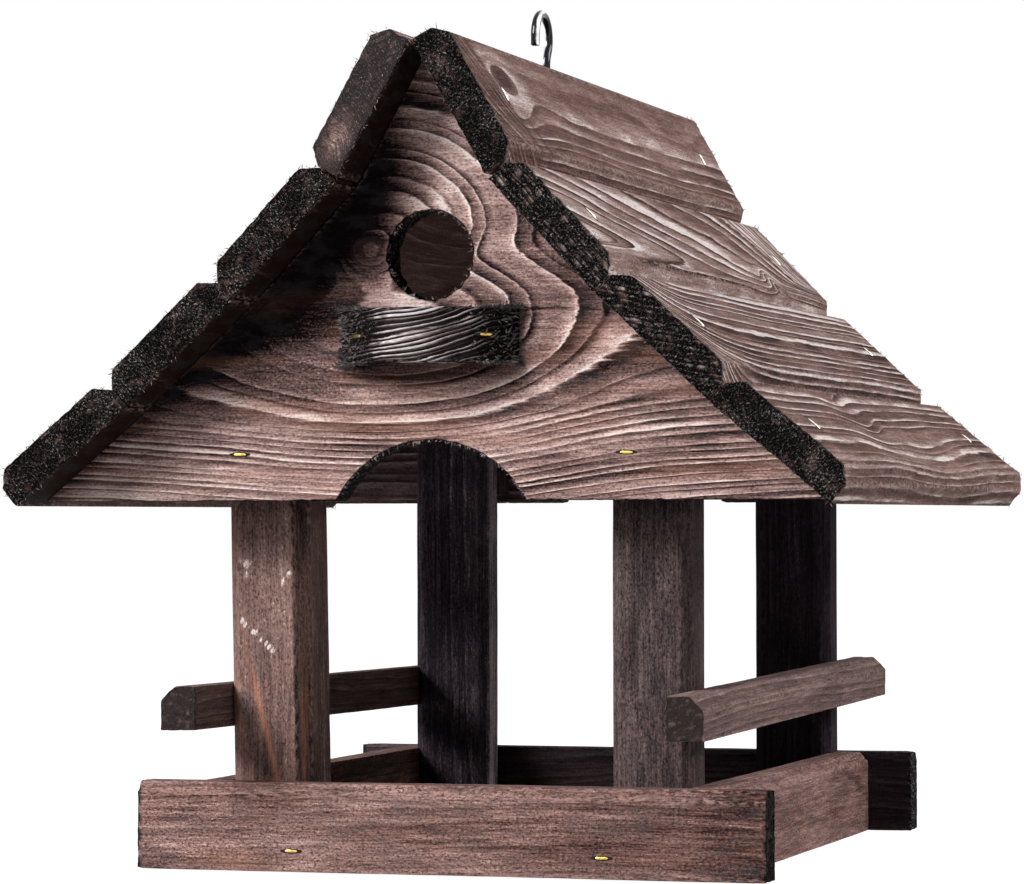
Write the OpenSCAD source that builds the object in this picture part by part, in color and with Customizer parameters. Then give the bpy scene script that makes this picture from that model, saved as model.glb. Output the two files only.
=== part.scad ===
// Hanging bird house for feeding: a rimmed tray, four posts, two perch rails,
// two gables, and a roof of four boards a side that flattens towards the eaves.
// Millimetres. X runs along the front, Y runs to the back, Z is up.
// The origin is the centre of the underside of the tray.

/* [Tray] */
// Length of the front and back rims
rim_len = 205; // [180:1:235]
// Depth of the tray over the front and back rims
tray_d = 232; // [180:1:320]
// Height of the rims
rim_h = 28; // [22:1:40]
// How far the front and back rims run past the side rims
rim_over = 15; // [8:1:22]
// Chamfer along the outer top edge of each rim
rim_chamfer = 3.2; // [0.5:0.1:5]

/* [Boards] */
// Thickness of the rims, the floor, the perch rails and the roof boards
board_t = 12; // [10:0.5:16]
// Thickness of the two gables
gable_t = 13; // [10:0.5:20]

/* [Posts and cleats] */
// Width of a post as seen from the front
post_w = 26; // [20:1:40]
// Depth of a post as seen from the side
post_d = 17; // [12:1:30]
// Chamfer along the four long edges of a post
post_chamfer = 3.2; // [0.5:0.1:5]
// Space between the tops of the posts and the roof boards
post_gap = 5; // [1:0.5:15]
// Thickness of the cleat that joins each post to a gable
cleat_t = 12.5; // [10:0.5:20]
// Height of a cleat
cleat_h = 28; // [22:1:34]
// How far the cleats stay above the lower edges of the gables
cleat_rise = 3; // [1:0.5:6]

/* [Perch rails] */
// Height of a perch rail
rail_h = 14; // [9:0.5:20]
// Space between the rims and the perch rails
rail_gap = 16.5; // [8:0.5:30]
// How far the rails run past the posts at each end
rail_over = 30; // [2:1:60]
// Chamfer along the outer top edge of a rail
rail_chamfer = 4.5; // [0.5:0.1:6]

/* [Gables] */
// Height of the feeding space from the floor board to the gables
open_h = 104.5; // [80:0.5:180]
// Diameter of the round hole in the front gable
hole_d = 27.5; // [20:0.5:36]
// Height of the centre of the hole as a share of the height of the gable
hole_share = 0.54; // [0.48:0.01:0.6]
// Half of the width of the arch in the lower edge of each gable
arch_half = 31; // [24:0.5:36]
// Height of the arch
arch_rise = 18.5; // [8:0.5:22]

/* [Perch shelf] */
// Width of the half-round shelf below the hole
shelf_w = 58; // [44:1:64]
// How far the shelf stands out from the gable
shelf_depth = 16; // [10:0.5:19]
// Height of the shelf
shelf_h = 17; // [10:0.5:22]
// Wood left between the hole and the top of the shelf
shelf_drop = 2.8; // [1:0.1:6]

/* [Roof] */
// Width of a roof board along the slope
slat_w = 47.5; // [43:0.5:56]
// Chamfer along the two outer edges of a roof board
slat_chamfer = 4.5; // [1:0.1:6]
// Gap between neighbouring roof boards
slat_gap = 0.4; // [0.3:0.1:2]
// Slope of the first board, from the ridge down
pitch_1 = 60.8; // [54:0.1:68]
// How much flatter the second board lies than the first
flare_2 = 14.3; // [4:0.1:18]
// How much flatter the third board lies than the second
flare_3 = 3.6; // [0:0.1:8]
// How much flatter the fourth board lies than the third
flare_4 = 3.1; // [0:0.1:8]
// How far the roof boards run past the gables
roof_over = 19.5; // [8:0.5:50]
// How far the lowest boards reach below the gables
eave_drop = 1.7; // [0.2:0.1:8]

/* [Ridge and hook] */
// Width of the ridge beam
beam_w = 16; // [10:1:22]
// Height of the ridge beam from its underside to its peak
beam_h = 26; // [24:1:34]
// Diameter of the hook wire
hook_wire = 3; // [2:0.1:4]
// Radius of the bend of the hook, measured to the middle of the wire
hook_bend = 7.8; // [6:0.1:10]
// Height of the middle of the bend above the inner ridge line
hook_rise = 16; // [14:0.5:26]
// Wood left in the beam under the screw of the hook
hook_left = 4; // [2:0.5:10]
// How far in front of the middle of the ridge the screw stands
hook_front = 3; // [0:0.5:20]
// How far the middle of the round bend stands in front of the screw
hook_lean = 4.68; // [3:0.01:7]
// Length of the straight tip after the round bend
hook_tip = 3.5; // [1:0.1:6]

/* [Fasteners] */
// Width of the crown of a staple
crown_w = 6; // [4:0.1:9]
// Width of the staple wire
staple_w = 1.2; // [0.8:0.1:2]
// Thickness of the staple wire
staple_t = 1; // [0.6:0.1:1.5]
// How deep a staple bites into the piece behind the first
staple_bite = 8; // [5:0.5:9]
// How deep the crown of a staple is sunk
staple_sink = 0.7; // [0.3:0.1:1.5]
// Place of the rim staples as a share of the way to the end of the floor board
rim_staple_out = 0.67; // [0.4:0.01:0.9]
// Height of the rim staples as a share of the thickness of the floor board
rim_staple_up = 0.56; // [0.45:0.01:0.6]
// Height of the gable staples above the lower edges of the gables
gable_staple_up = 14.5; // [12:0.5:18]
// Place of the shelf staples as a share of the width of the shelf
shelf_staple_out = 0.36; // [0.3:0.01:0.4]
// Diameter of the brads
brad_d = 1.5; // [1:0.1:2.5]
// How deep a brad bites into the piece behind the first
brad_bite = 12; // [8:0.5:14]
// Height of the head of a brad
brad_head = 0.6; // [0.4:0.1:1]
// Diameter of the head of a brad
brad_head_d = 2.2; // [1.6:0.1:3.5]
// How deep the head of a brad is sunk
brad_sink = 0.9; // [0.3:0.1:2]
// Height of the brads from rims to posts as a share of the height of the rims
post_brad_up = 0.81; // [0.7:0.01:0.85]
// Height of the brads from rims to floor as a share of the thickness of the floor
floor_brad_up = 0.7; // [0.4:0.01:0.75]
// Distance between those two brads along the rim
brad_apart = 12; // [6:1:30]
// Height of the rail brads as a share of the flat face of a rail
rail_brad_up = 0.8; // [0.4:0.01:0.85]
// Height of the cleat brads as a share of the height of a cleat
cleat_brad_up = 0.75; // [0.7:0.01:0.85]
// Clearance round staples, brads and the hook in the wood
fit_clear = 0.1; // [0.05:0.01:0.3]

/* [Hidden] */
$fn = 48;

// Tray lines
side_x = rim_len / 2 - rim_over;
post_x = side_x - board_t;
inner_y = tray_d / 2 - board_t;

// Posts stand on the floor in the corners of the tray
post_cx = post_x - post_w / 2;
post_cy = inner_y - post_d / 2;

// Perch rails on the outer faces of the posts
rail_z = rim_h + rail_gap;
rail_end = inner_y + rail_over;

// Gables stand against the cleats on the outer faces of the posts
gable_in = inner_y + cleat_t;
gable_out = gable_in + gable_t;
gable_mid = gable_in + gable_t / 2;
gable_z = board_t + open_h;
cleat_z = gable_z + cleat_rise;
roof_end = gable_out + roof_over;

// Roof section. The boards meet at joints that lie one seat above their
// undersides, where their chamfers begin. Point lists are [across, up].
pitches = [pitch_1, pitch_1 - flare_2, pitch_1 - flare_2 - flare_3, pitch_1 - flare_2 - flare_3 - flare_4];
seat = board_t - slat_chamfer;
step = slat_w + slat_gap;
lean = seat * (cos(pitches[3]) - cos(pitches[0]));
drop = step * (sin(pitches[0]) + sin(pitches[1]) + sin(pitches[2])) + slat_w * sin(pitches[3]) + lean;
ridge_z = gable_z - eave_drop + drop;
function along(a) = [cos(a), -sin(a)];
function out(a) = [sin(a), cos(a)];
function joint(i) =
  i == 0 ? [slat_gap / 2, ridge_z] + seat * out(pitches[0]) : joint(i - 1) + step * along(pitches[i - 1]);
function inner(i) = joint(i) - seat * out(pitches[i]);
function cross2(a, b) = a[0] * b[1] - a[1] * b[0];
function meet(p, u, q, v) = p + u * cross2(q - p, v) / cross2(u, v);
function bend(i) =
  pitches[i - 1] == pitches[i] ? inner(i) : meet(inner(i - 1), along(pitches[i - 1]), inner(i), along(pitches[i]));
peak = meet(inner(0), along(pitches[0]), [0, 0], [0, 1]);
foot = meet(inner(3), along(pitches[3]), [0, gable_z], [1, 0]);

// The posts end below the undersides of the roof boards, which are highest
// over a place along the board whose line reaches highest there
post_top = max([for (i = [0 : 3]) inner(i)[1] - (post_x - inner(i)[0]) * tan(pitches[i])]) - post_gap;

// Arch, hole and shelf
arch_r = (arch_half * arch_half + arch_rise * arch_rise) / (2 * arch_rise);
hole_z = gable_z + hole_share * (ridge_z - gable_z);
shelf_top = hole_z - hole_d / 2 - shelf_drop;
shelf_r = (shelf_w * shelf_w / 4 + shelf_depth * shelf_depth) / (2 * shelf_depth);
shelf_back = shelf_r - shelf_depth;
shelf_turn = asin(shelf_w * shelf_staple_out / shelf_r);
shelf_leg = shelf_r - shelf_back / cos(shelf_turn) + staple_bite;

// Ridge beam and hook. A reverse bend leads from the screw to the round bend.
beam_z = peak[1] - beam_h;
hook_z = ridge_z + hook_rise;
hook_low = beam_z + hook_left;
hook_turn = acos((hook_bend + hook_lean) / (2 * hook_bend));
hook_reach = 2 * hook_bend * sin(hook_turn);

// Long enough to cut through the whole bird house
through = 400;
// How far other cutters stand proud of the wood
proud = 2;

// One staple. The wood's surface is at z = 0, the crown lies along X.
module staple_at(leg) {
  translate([-crown_w / 2, -staple_w / 2, -staple_sink - staple_t])
    cube([crown_w, staple_w, staple_t]);
  for (s = [-1, 1])
    translate([s * (crown_w - staple_t) / 2 - staple_t / 2, -staple_w / 2, -leg])
      cube([staple_t, staple_w, leg - staple_sink]);
}

// The pocket that the same staple leaves in the wood
module staple_cut(leg) {
  c = fit_clear;
  translate([-crown_w / 2 - c, -staple_w / 2 - c, -staple_sink - staple_t])
    cube([crown_w + 2 * c, staple_w + 2 * c, staple_t + staple_sink + proud]);
  for (s = [-1, 1])
    translate([s * (crown_w - staple_t) / 2 - staple_t / 2 - c, -staple_w / 2 - c, -leg])
      cube([staple_t + 2 * c, staple_w + 2 * c, leg - staple_sink]);
}

// One brad with its head up, sunk in wood whose surface is at z = 0
module brad_at(length) {
  translate([0, 0, -length])
    cylinder(d = brad_d, h = length - brad_sink - brad_head);
  translate([0, 0, -brad_sink - brad_head])
    cylinder(d = brad_head_d, h = brad_head);
}

// The hole that the same brad leaves in the wood
module brad_cut(length) {
  translate([0, 0, -length])
    cylinder(d = brad_d + 2 * fit_clear, h = length);
  translate([0, 0, -brad_sink - brad_head])
    cylinder(d = brad_head_d + 2 * fit_clear, h = brad_sink + brad_head + proud);
}

// Places of the fasteners. Each list entry is one side or one end.
module on_rims(end) {
  for (x = [-1, 1])
    translate([x * post_x * rim_staple_out, end * tray_d / 2, board_t * rim_staple_up])
      rotate([-90 * end, 0, 0])
        children();
}

module on_side_rims(side) {
  for (y = [-1, 1])
    for (p = [[post_cy, rim_h * post_brad_up], [post_cy - brad_apart, board_t * floor_brad_up]])
      translate([side * side_x, y * p[0], p[1]])
        rotate([0, 90 * side, 0])
          children();
}

module on_rails(side) {
  for (y = [-1, 1])
    translate([side * side_x, y * post_cy, rail_z + (rail_h - rail_chamfer) * rail_brad_up])
      rotate([0, 90 * side, 0])
        children();
}

module on_cleats(end) {
  for (x = [-1, 1])
    translate([x * post_cx, end * gable_in, cleat_z + cleat_h * cleat_brad_up])
      rotate([-90 * end, 0, 0])
        children();
}

module on_gables(end) {
  for (x = [-1, 1])
    translate([x * post_cx, end * gable_out, gable_z + gable_staple_up])
      rotate([-90 * end, 0, 0])
        children();
}

module on_shelf() {
  for (s = [-1, 1])
    translate([0, shelf_back - gable_out, shelf_top - shelf_h / 2])
      rotate([0, 0, s * shelf_turn])
        translate([0, -shelf_r, 0])
          rotate([90, 0, 0])
            children();
}

module on_slat(side, i) {
  m = inner(i) + board_t * out(pitches[i]) + slat_w / 2 * along(pitches[i]);
  for (y = [-1, 1])
    translate([side * m[0], y * gable_mid, m[1]])
      rotate([0, side * pitches[i], 0])
        children();
}

// Boards of the tray
module rim_board(length) {
  rotate([90, 0, 90])
    translate([0, 0, -length / 2])
      linear_extrude(length)
        polygon([[0, 0], [board_t, 0], [board_t, rim_h], [rim_chamfer, rim_h], [0, rim_h - rim_chamfer]]);
}

module end_rim(end) {
  color("#6b4f4a")
    difference() {
      rotate([0, 0, end < 0 ? 0 : 180])
        translate([0, -tray_d / 2, 0])
          rim_board(rim_len);
      on_rims(end)
        staple_cut(board_t + staple_bite);
    }
}

module side_rim(side) {
  color("#6b4f4a")
    difference() {
      rotate([0, 0, side * 90])
        translate([0, -side_x, 0])
          rim_board(2 * inner_y);
      on_side_rims(side)
        brad_cut(board_t + brad_bite);
    }
}

module floor_board() {
  color("#4a3733")
    difference() {
      translate([-post_x, -inner_y, 0])
        cube([2 * post_x, 2 * inner_y, board_t]);
      for (e = [-1, 1])
        on_rims(e)
          staple_cut(board_t + staple_bite);
      for (s = [-1, 1])
        on_side_rims(s)
          brad_cut(board_t + brad_bite);
    }
}

module front_rim() { end_rim(-1); }
module back_rim() { end_rim(1); }
module left_rim() { side_rim(-1); }
module right_rim() { side_rim(1); }

// Posts, cleats and perch rails
module post(side, end) {
  c = post_chamfer;
  w = post_w / 2;
  d = post_d / 2;
  color("#43322f")
    difference() {
      translate([side * post_cx, end * post_cy, board_t])
        linear_extrude(post_top - board_t)
          polygon([[c - w, -d], [w - c, -d], [w, c - d], [w, d - c], [w - c, d], [c - w, d], [-w, d - c], [-w, c - d]]);
      on_side_rims(side)
        brad_cut(board_t + brad_bite);
      on_rails(side)
        brad_cut(board_t + brad_bite);
      on_cleats(end)
        brad_cut(cleat_t + brad_bite);
    }
}

module front_left_post() { post(-1, -1); }
module front_right_post() { post(1, -1); }
module back_left_post() { post(-1, 1); }
module back_right_post() { post(1, 1); }

module cleat(side, end) {
  color("#43322f")
    difference() {
      translate([side * post_cx - post_w / 2, end < 0 ? -gable_in : inner_y, cleat_z])
        cube([post_w, cleat_t, cleat_h]);
      on_cleats(end)
        brad_cut(cleat_t + brad_bite);
      on_gables(end)
        staple_cut(gable_t + staple_bite);
    }
}

module front_left_cleat() { cleat(-1, -1); }
module front_right_cleat() { cleat(1, -1); }
module back_left_cleat() { cleat(-1, 1); }
module back_right_cleat() { cleat(1, 1); }

module perch_rail(side) {
  c = rail_chamfer;
  color("#5b4440")
    difference() {
      translate([0, rail_end, rail_z])
        rotate([90, 0, 0])
          linear_extrude(2 * rail_end)
            polygon([for (p = [[0, 0], [board_t, 0], [board_t, rail_h - c], [board_t - c, rail_h], [0, rail_h]]) [side * (post_x + p[0]), p[1]]]);
      on_rails(side)
        brad_cut(board_t + brad_bite);
    }
}

module left_perch_rail() { perch_rail(-1); }
module right_perch_rail() { perch_rail(1); }

// Gables: their slopes follow the undersides of the roof boards
module gable(end) {
  right = [peak, bend(1), bend(2), bend(3), foot];
  left = [for (i = [4, 3, 2, 1]) [-right[i][0], right[i][1]]];
  color("#7a5650")
    difference() {
      translate([0, end < 0 ? -gable_in : gable_out, 0])
        rotate([90, 0, 0])
          linear_extrude(gable_t)
            polygon(concat(right, left));
      translate([0, through / 2, gable_z + arch_rise - arch_r])
        rotate([90, 0, 0])
          cylinder(r = arch_r, h = through, $fn = 96);
      if (end < 0)
        translate([0, 0, hole_z])
          rotate([90, 0, 0])
            cylinder(d = hole_d, h = through, $fn = 96);
      if (end < 0)
        on_shelf()
          staple_cut(shelf_leg);
      on_gables(end)
        staple_cut(gable_t + staple_bite);
      for (s = [-1, 1])
        for (i = [0 : 3])
          on_slat(s, i)
            staple_cut(board_t + staple_bite);
    }
}

module front_gable() { gable(-1); }
module back_gable() { gable(1); }

// The half-round shelf below the hole
module perch_shelf() {
  color("#3a2b29")
    difference() {
      intersection() {
        translate([0, -gable_out + shelf_back, shelf_top - shelf_h])
          cylinder(r = shelf_r, h = shelf_h, $fn = 96);
        translate([-shelf_w, -gable_out - shelf_r, shelf_top - shelf_h - proud])
          cube([2 * shelf_w, shelf_r, shelf_h + 2 * proud]);
      }
      on_shelf()
        staple_cut(shelf_leg);
    }
}

// Roof boards, with the top pair notched round the hook
module roof_board(side, i) {
  u = along(pitches[i]);
  n = out(pitches[i]);
  o = inner(i);
  c = slat_chamfer;
  pts = [o, o + seat * n, o + board_t * n + c * u, o + board_t * n + (slat_w - c) * u, o + seat * n + slat_w * u, o + slat_w * u];
  color("#6e5652")
    difference() {
      translate([0, roof_end, 0])
        rotate([90, 0, 0])
          linear_extrude(2 * roof_end)
            polygon([for (p = pts) [side * p[0], p[1]]]);
      on_slat(side, i)
        staple_cut(board_t + staple_bite);
      if (i == 0)
        translate([0, -hook_front, hook_low])
          cylinder(d = hook_wire + 2 * fit_clear, h = hook_z - hook_low);
    }
}

module left_roof_board_1() { roof_board(-1, 0); }
module left_roof_board_2() { roof_board(-1, 1); }
module left_roof_board_3() { roof_board(-1, 2); }
module left_roof_board_4() { roof_board(-1, 3); }
module right_roof_board_1() { roof_board(1, 0); }
module right_roof_board_2() { roof_board(1, 1); }
module right_roof_board_3() { roof_board(1, 2); }
module right_roof_board_4() { roof_board(1, 3); }

// The beam under the ridge fills the peak between the gables
module ridge_beam() {
  w = beam_w / 2;
  s = w * tan(pitch_1);
  color("#43322f")
    difference() {
      translate([0, gable_in, 0])
        rotate([90, 0, 0])
          linear_extrude(2 * gable_in)
            polygon([peak, [w, peak[1] - s], [w, beam_z], [-w, beam_z], [-w, peak[1] - s]]);
      translate([0, -hook_front, hook_low])
        cylinder(d = hook_wire + 2 * fit_clear, h = hook_z - hook_low);
    }
}

// The hook: a straight screw, a reverse bend, the round bend and a short tip
module wire_bend(sweep) {
  rotate_extrude(angle = sweep)
    translate([hook_bend, 0])
      circle(d = hook_wire);
}

module hanging_hook() {
  color("#c9ccce")
    translate([0, -hook_front, hook_z])
      rotate([90, 0, 90]) {
        translate([0, hook_low - hook_z, 0])
          rotate([-90, 0, 0])
            cylinder(d = hook_wire, h = hook_z - hook_reach - hook_low);
        translate([hook_bend, -hook_reach, 0])
          rotate([0, 0, 180 - hook_turn])
            wire_bend(hook_turn);
        translate([-hook_lean, 0, 0])
          rotate([0, 0, -hook_turn])
            wire_bend(180 + hook_turn);
        translate([-hook_lean - hook_bend, -hook_tip, 0])
          rotate([-90, 0, 0])
            cylinder(d = hook_wire, h = hook_tip);
      }
}

// Fasteners, one group for each kind of joint
module rim_staples() {
  color("#c9a24a")
    for (e = [-1, 1])
      on_rims(e)
        staple_at(board_t + staple_bite);
}

module gable_staples() {
  color("#c9a24a")
    for (e = [-1, 1])
      on_gables(e)
        staple_at(gable_t + staple_bite);
}

module shelf_staples() {
  color("#c9a24a")
    on_shelf()
      staple_at(shelf_leg);
}

module roof_staples() {
  color("#c9a24a")
    for (s = [-1, 1])
      for (i = [0 : 3])
        on_slat(s, i)
          staple_at(board_t + staple_bite);
}

module rim_brads() {
  color("#b08d3c")
    for (s = [-1, 1])
      on_side_rims(s)
        brad_at(board_t + brad_bite);
}

module rail_brads() {
  color("#5a5550")
    for (s = [-1, 1])
      on_rails(s)
        brad_at(board_t + brad_bite);
}

module cleat_brads() {
  color("#5a5550")
    for (e = [-1, 1])
      on_cleats(e)
        brad_at(cleat_t + brad_bite);
}

floor_board();
front_rim();
back_rim();
left_rim();
right_rim();
front_left_post();
front_right_post();
back_left_post();
back_right_post();
front_left_cleat();
front_right_cleat();
back_left_cleat();
back_right_cleat();
left_perch_rail();
right_perch_rail();
front_gable();
back_gable();
perch_shelf();
left_roof_board_1();
left_roof_board_2();
left_roof_board_3();
left_roof_board_4();
right_roof_board_1();
right_roof_board_2();
right_roof_board_3();
right_roof_board_4();
ridge_beam();
hanging_hook();
rim_staples();
gable_staples();
shelf_staples();
roof_staples();
rim_brads();
rail_brads();
cleat_brads();
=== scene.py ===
import math

import bpy
import numpy as np
from mathutils import Matrix, Vector


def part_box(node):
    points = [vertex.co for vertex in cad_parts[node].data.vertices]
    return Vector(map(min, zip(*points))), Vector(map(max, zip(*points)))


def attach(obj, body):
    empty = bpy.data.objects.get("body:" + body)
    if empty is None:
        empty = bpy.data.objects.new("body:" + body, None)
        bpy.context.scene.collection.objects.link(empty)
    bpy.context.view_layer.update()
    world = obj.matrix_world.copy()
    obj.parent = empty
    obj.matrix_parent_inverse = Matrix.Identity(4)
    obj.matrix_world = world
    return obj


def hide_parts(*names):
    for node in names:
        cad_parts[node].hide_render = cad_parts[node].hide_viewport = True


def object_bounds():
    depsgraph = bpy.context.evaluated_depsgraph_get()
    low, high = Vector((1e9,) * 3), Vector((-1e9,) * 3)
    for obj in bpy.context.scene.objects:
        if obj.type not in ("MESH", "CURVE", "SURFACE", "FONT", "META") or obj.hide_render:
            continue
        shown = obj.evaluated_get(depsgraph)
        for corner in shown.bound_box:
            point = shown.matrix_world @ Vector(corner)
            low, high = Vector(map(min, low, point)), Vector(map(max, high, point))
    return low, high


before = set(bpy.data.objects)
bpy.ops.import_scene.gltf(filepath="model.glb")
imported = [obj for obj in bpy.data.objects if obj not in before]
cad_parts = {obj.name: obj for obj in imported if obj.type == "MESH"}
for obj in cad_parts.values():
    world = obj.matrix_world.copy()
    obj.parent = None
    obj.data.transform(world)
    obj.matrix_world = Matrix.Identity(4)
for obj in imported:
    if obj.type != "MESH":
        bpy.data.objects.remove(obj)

cad_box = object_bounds()
scene = bpy.context.scene

# Camera. A long lens stands level with the feeding space, to the right of
# the middle, and looks a little upwards. The picture is 1024 by 884.
view_yaw, view_pitch, view_roll = (math.radians(a) for a in (-16.92, 1.04, -0.11))
view_from = (0.39515, -1.34213, 0.11130)
ahead = np.array([math.sin(view_yaw) * math.cos(view_pitch), math.cos(view_yaw) * math.cos(view_pitch),
                  math.sin(view_pitch)])
level = np.array([math.cos(view_yaw), -math.sin(view_yaw), 0.0])
above = np.cross(level, ahead)
right_hand = math.cos(view_roll) * level + math.sin(view_roll) * above
overhead = math.cos(view_roll) * above - math.sin(view_roll) * level
camera = bpy.data.objects.new("camera", bpy.data.cameras.new("camera"))
camera.data.sensor_width = 36.0
camera.data.sensor_fit = "HORIZONTAL"
camera.data.lens = 145.76
turned = np.stack([right_hand, overhead, -ahead], 1)
camera.matrix_world = Matrix([[*row, at] for row, at in zip(turned, view_from)] + [[0, 0, 0, 1]])
scene.collection.objects.link(camera)
scene.camera = camera
scene.view_settings.view_transform = "Standard"


# Studio. A pale paper floor under a white surround, with one large soft lamp
# in front on the left, and another on the right a little behind the house.
def shader(tree, kind, settings=None, **sockets):
    """Adds one node. A socket given as another node's output is linked, and any other value is set."""
    made = tree.nodes.new("ShaderNode" + kind)
    for key, value in (settings or {}).items():
        setattr(made, key, value)
    for key, value in sockets.items():
        socket = made.inputs[int(key[1:])] if key[0] == "_" else made.inputs[key.replace("_", " ")]
        if isinstance(value, bpy.types.NodeSocket):
            tree.links.new(value, socket)
        else:
            socket.default_value = value
    return made


def blank_material(name):
    """A material with no nodes yet, and the tree to put them in."""
    made = bpy.data.materials.new(name)
    made.use_nodes = True
    made.node_tree.nodes.clear()
    return made, made.node_tree


def seen_directly(tree):
    """1 where a camera, mirror or glass ray looks, and 0 for the light that reaches the object."""
    rays = shader(tree, "LightPath").outputs
    either = shader(tree, "Math", {"operation": "MAXIMUM"}, _0=rays["Is Camera Ray"],
                    _1=rays["Is Glossy Ray"])
    return shader(tree, "Math", {"operation": "MAXIMUM"}, _0=either.outputs[0],
                  _1=rays["Is Transmission Ray"]).outputs[0]


surround = bpy.data.worlds.new("surround")
surround.use_nodes = True
sky = surround.node_tree
sky.nodes.clear()
dome = shader(sky, "Background", Color=(1, 1, 1, 1), Strength=0.17)
paper_white = shader(sky, "Background", Color=(1, 1, 1, 1), Strength=1.0)
blend_sky = shader(sky, "MixShader", _0=seen_directly(sky), _1=dome.outputs[0], _2=paper_white.outputs[0])
shader(sky, "OutputWorld", Surface=blend_sky.outputs[0])
scene.world = surround

paper, paper_tree = blank_material("floor_paper")
plain_paper = shader(paper_tree, "BsdfDiffuse", Color=(0.4, 0.4, 0.4, 1))
shaded_paper = shader(paper_tree, "BsdfDiffuse", Color=(0.16, 0.16, 0.16, 1))
paper_glow = shader(paper_tree, "Emission", Color=(1, 1, 1, 1), Strength=0.97)
seen_paper = shader(paper_tree, "AddShader", _0=shaded_paper.outputs[0], _1=paper_glow.outputs[0])
both_papers = shader(paper_tree, "MixShader", _0=seen_directly(paper_tree), _1=plain_paper.outputs[0],
                     _2=seen_paper.outputs[0])
shader(paper_tree, "OutputMaterial", Surface=both_papers.outputs[0])

floor_z = -0.0004
floor_mesh = bpy.data.meshes.new("studio_floor")
floor_mesh.from_pydata([(x, y, floor_z) for x, y in ((-6, -3), (6, -3), (6, 9), (-6, 9))], [], [(0, 1, 2, 3)])
studio_floor = bpy.data.objects.new("studio_floor", floor_mesh)
studio_floor.data.materials.append(paper)
scene.collection.objects.link(studio_floor)


def soft_lamp(name, at, aim, size, power):
    """A square soft box of that size, in metres, turned from where it stands to where it aims."""
    lamp = bpy.data.objects.new(name, bpy.data.lights.new(name, "AREA"))
    lamp.data.size = size
    lamp.data.energy = power
    lamp.location = at
    lamp.rotation_euler = (Vector(at) - Vector(aim)).to_track_quat("Z", "Y").to_euler()
    scene.collection.objects.link(lamp)


soft_lamp("front_left_lamp", (-1.25, -1.45, 1.25), (0, -0.1, 0.12), size=1.0, power=82)
soft_lamp("right_lamp", (1.75, 0.35, 1.45), (0, 0, 0.15), size=1.2, power=48)


# Sawn wood. Every board is spruce, sawn and planed, dipped in a brown stain
# that soaks into the open cut ends and leaves the dense late wood paler.
def wander(p, size, seed):
    """Smooth random numbers between -1 and 1 at the points p, in swells of that size along each axis:
    random values at the corners of a lattice, blended by the smoothstep of the distance along each axis."""
    q = p / np.asarray(size, float)
    low = np.floor(q).astype(np.int64)
    part = q - low
    part = part * part * (3 - 2 * part)
    total = np.zeros(p.shape[:-1])
    for corner in np.ndindex(2, 2, 2):
        c = low + corner
        h = c[..., 0] * 374761393 + c[..., 1] * 668265263 + c[..., 2] * 1274126177 + seed * 974634777
        h = h & 0xFFFFFFFF
        h = ((h ^ (h >> 13)) * 1103515245) & 0xFFFFFFFF
        h = (h ^ (h >> 16)) & 0xFFFF
        total += np.prod(np.where(corner, part, 1 - part), axis=-1) * h / 32767.5
    return total - 1


def bell(x, at, reach):
    """A bell curve of height 1: exp(-((x - at) / reach)^2)."""
    return np.exp(-((x - at) / reach) ** 2)


def spot(x, y, at_x, at_y, reach_x, reach_y):
    """A round or oval spot of height 1: the product of a bell curve each way."""
    return bell(x, at_x, reach_x) * bell(y, at_y, reach_y)


def stair(x, at, reach):
    """A soft stair from 0 to 1: 1 / (1 + exp(-(x - at) / reach))."""
    return 1 / (1 + np.exp(-np.clip((x - at) / reach, -30, 30)))


def fitted(name, points, faces, material, slot, smooth=True, **fields):
    """Makes one piece from points in millimetres, with the fields kept at its points. It rides on the house,
    and where a node has its name, it stands for that node."""
    mesh = bpy.data.meshes.new(name)
    mesh.from_pydata((points * 0.001).tolist(), [], faces)
    for key, v in fields.items():
        vector = v.size == 3 * len(points)
        store = mesh.attributes.new(key, "FLOAT_VECTOR" if vector else "FLOAT", "POINT")
        store.data.foreach_set("vector" if vector else "value", v.astype(np.float32).ravel())
    if smooth:
        mesh.shade_smooth()
    piece = bpy.data.objects.new(name, mesh)
    piece.data.materials.append(material)
    scene.collection.objects.link(piece)
    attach(piece, "root")
    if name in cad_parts:
        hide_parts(name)
    return piece


def with_ends(rows, looped=False):
    """The rows' points, or their values, in one list. Unless the rows close on themselves, the middles of the
    first and the last row come after them."""
    flat = rows.reshape(-1, rows.shape[-1])
    return flat if looped else np.concatenate([flat, rows[0].mean(0)[None], rows[-1].mean(0)[None]])


def skin_faces(points, count, n, looped=False, base=0):
    """Faces between count rows of n points, with three-sided ones to the two middles. They are turned round
    where the volume, the sum of a . (b x c + c x d) over the corners of each face, comes out negative."""
    i = np.arange(count if looped else count - 1)[:, None]
    j = np.arange(n)[None, :]
    after, beside = (i + 1) % count, (j + 1) % n
    quads = np.stack([i * n + j, i * n + beside, after * n + beside, after * n + j], -1).reshape(-1, 4)
    a, b, c, d = (points[quads[:, k]] - points.mean(0) for k in range(4))
    inward = np.einsum("ij,ij->", a, np.cross(b, c) + np.cross(c, d)) < 0
    faces = (base + quads).tolist()
    if not looped:
        last = (count - 1) * n
        low, high = np.full((1, n), count * n), np.full((1, n), count * n + 1)
        faces += (base + np.stack([j, low, beside], -1).reshape(-1, 3)).tolist()
        faces += (base + np.stack([last + beside, high, last + j], -1).reshape(-1, 3)).tolist()
    return [f[::-1] for f in faces] if inward else faces


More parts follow.
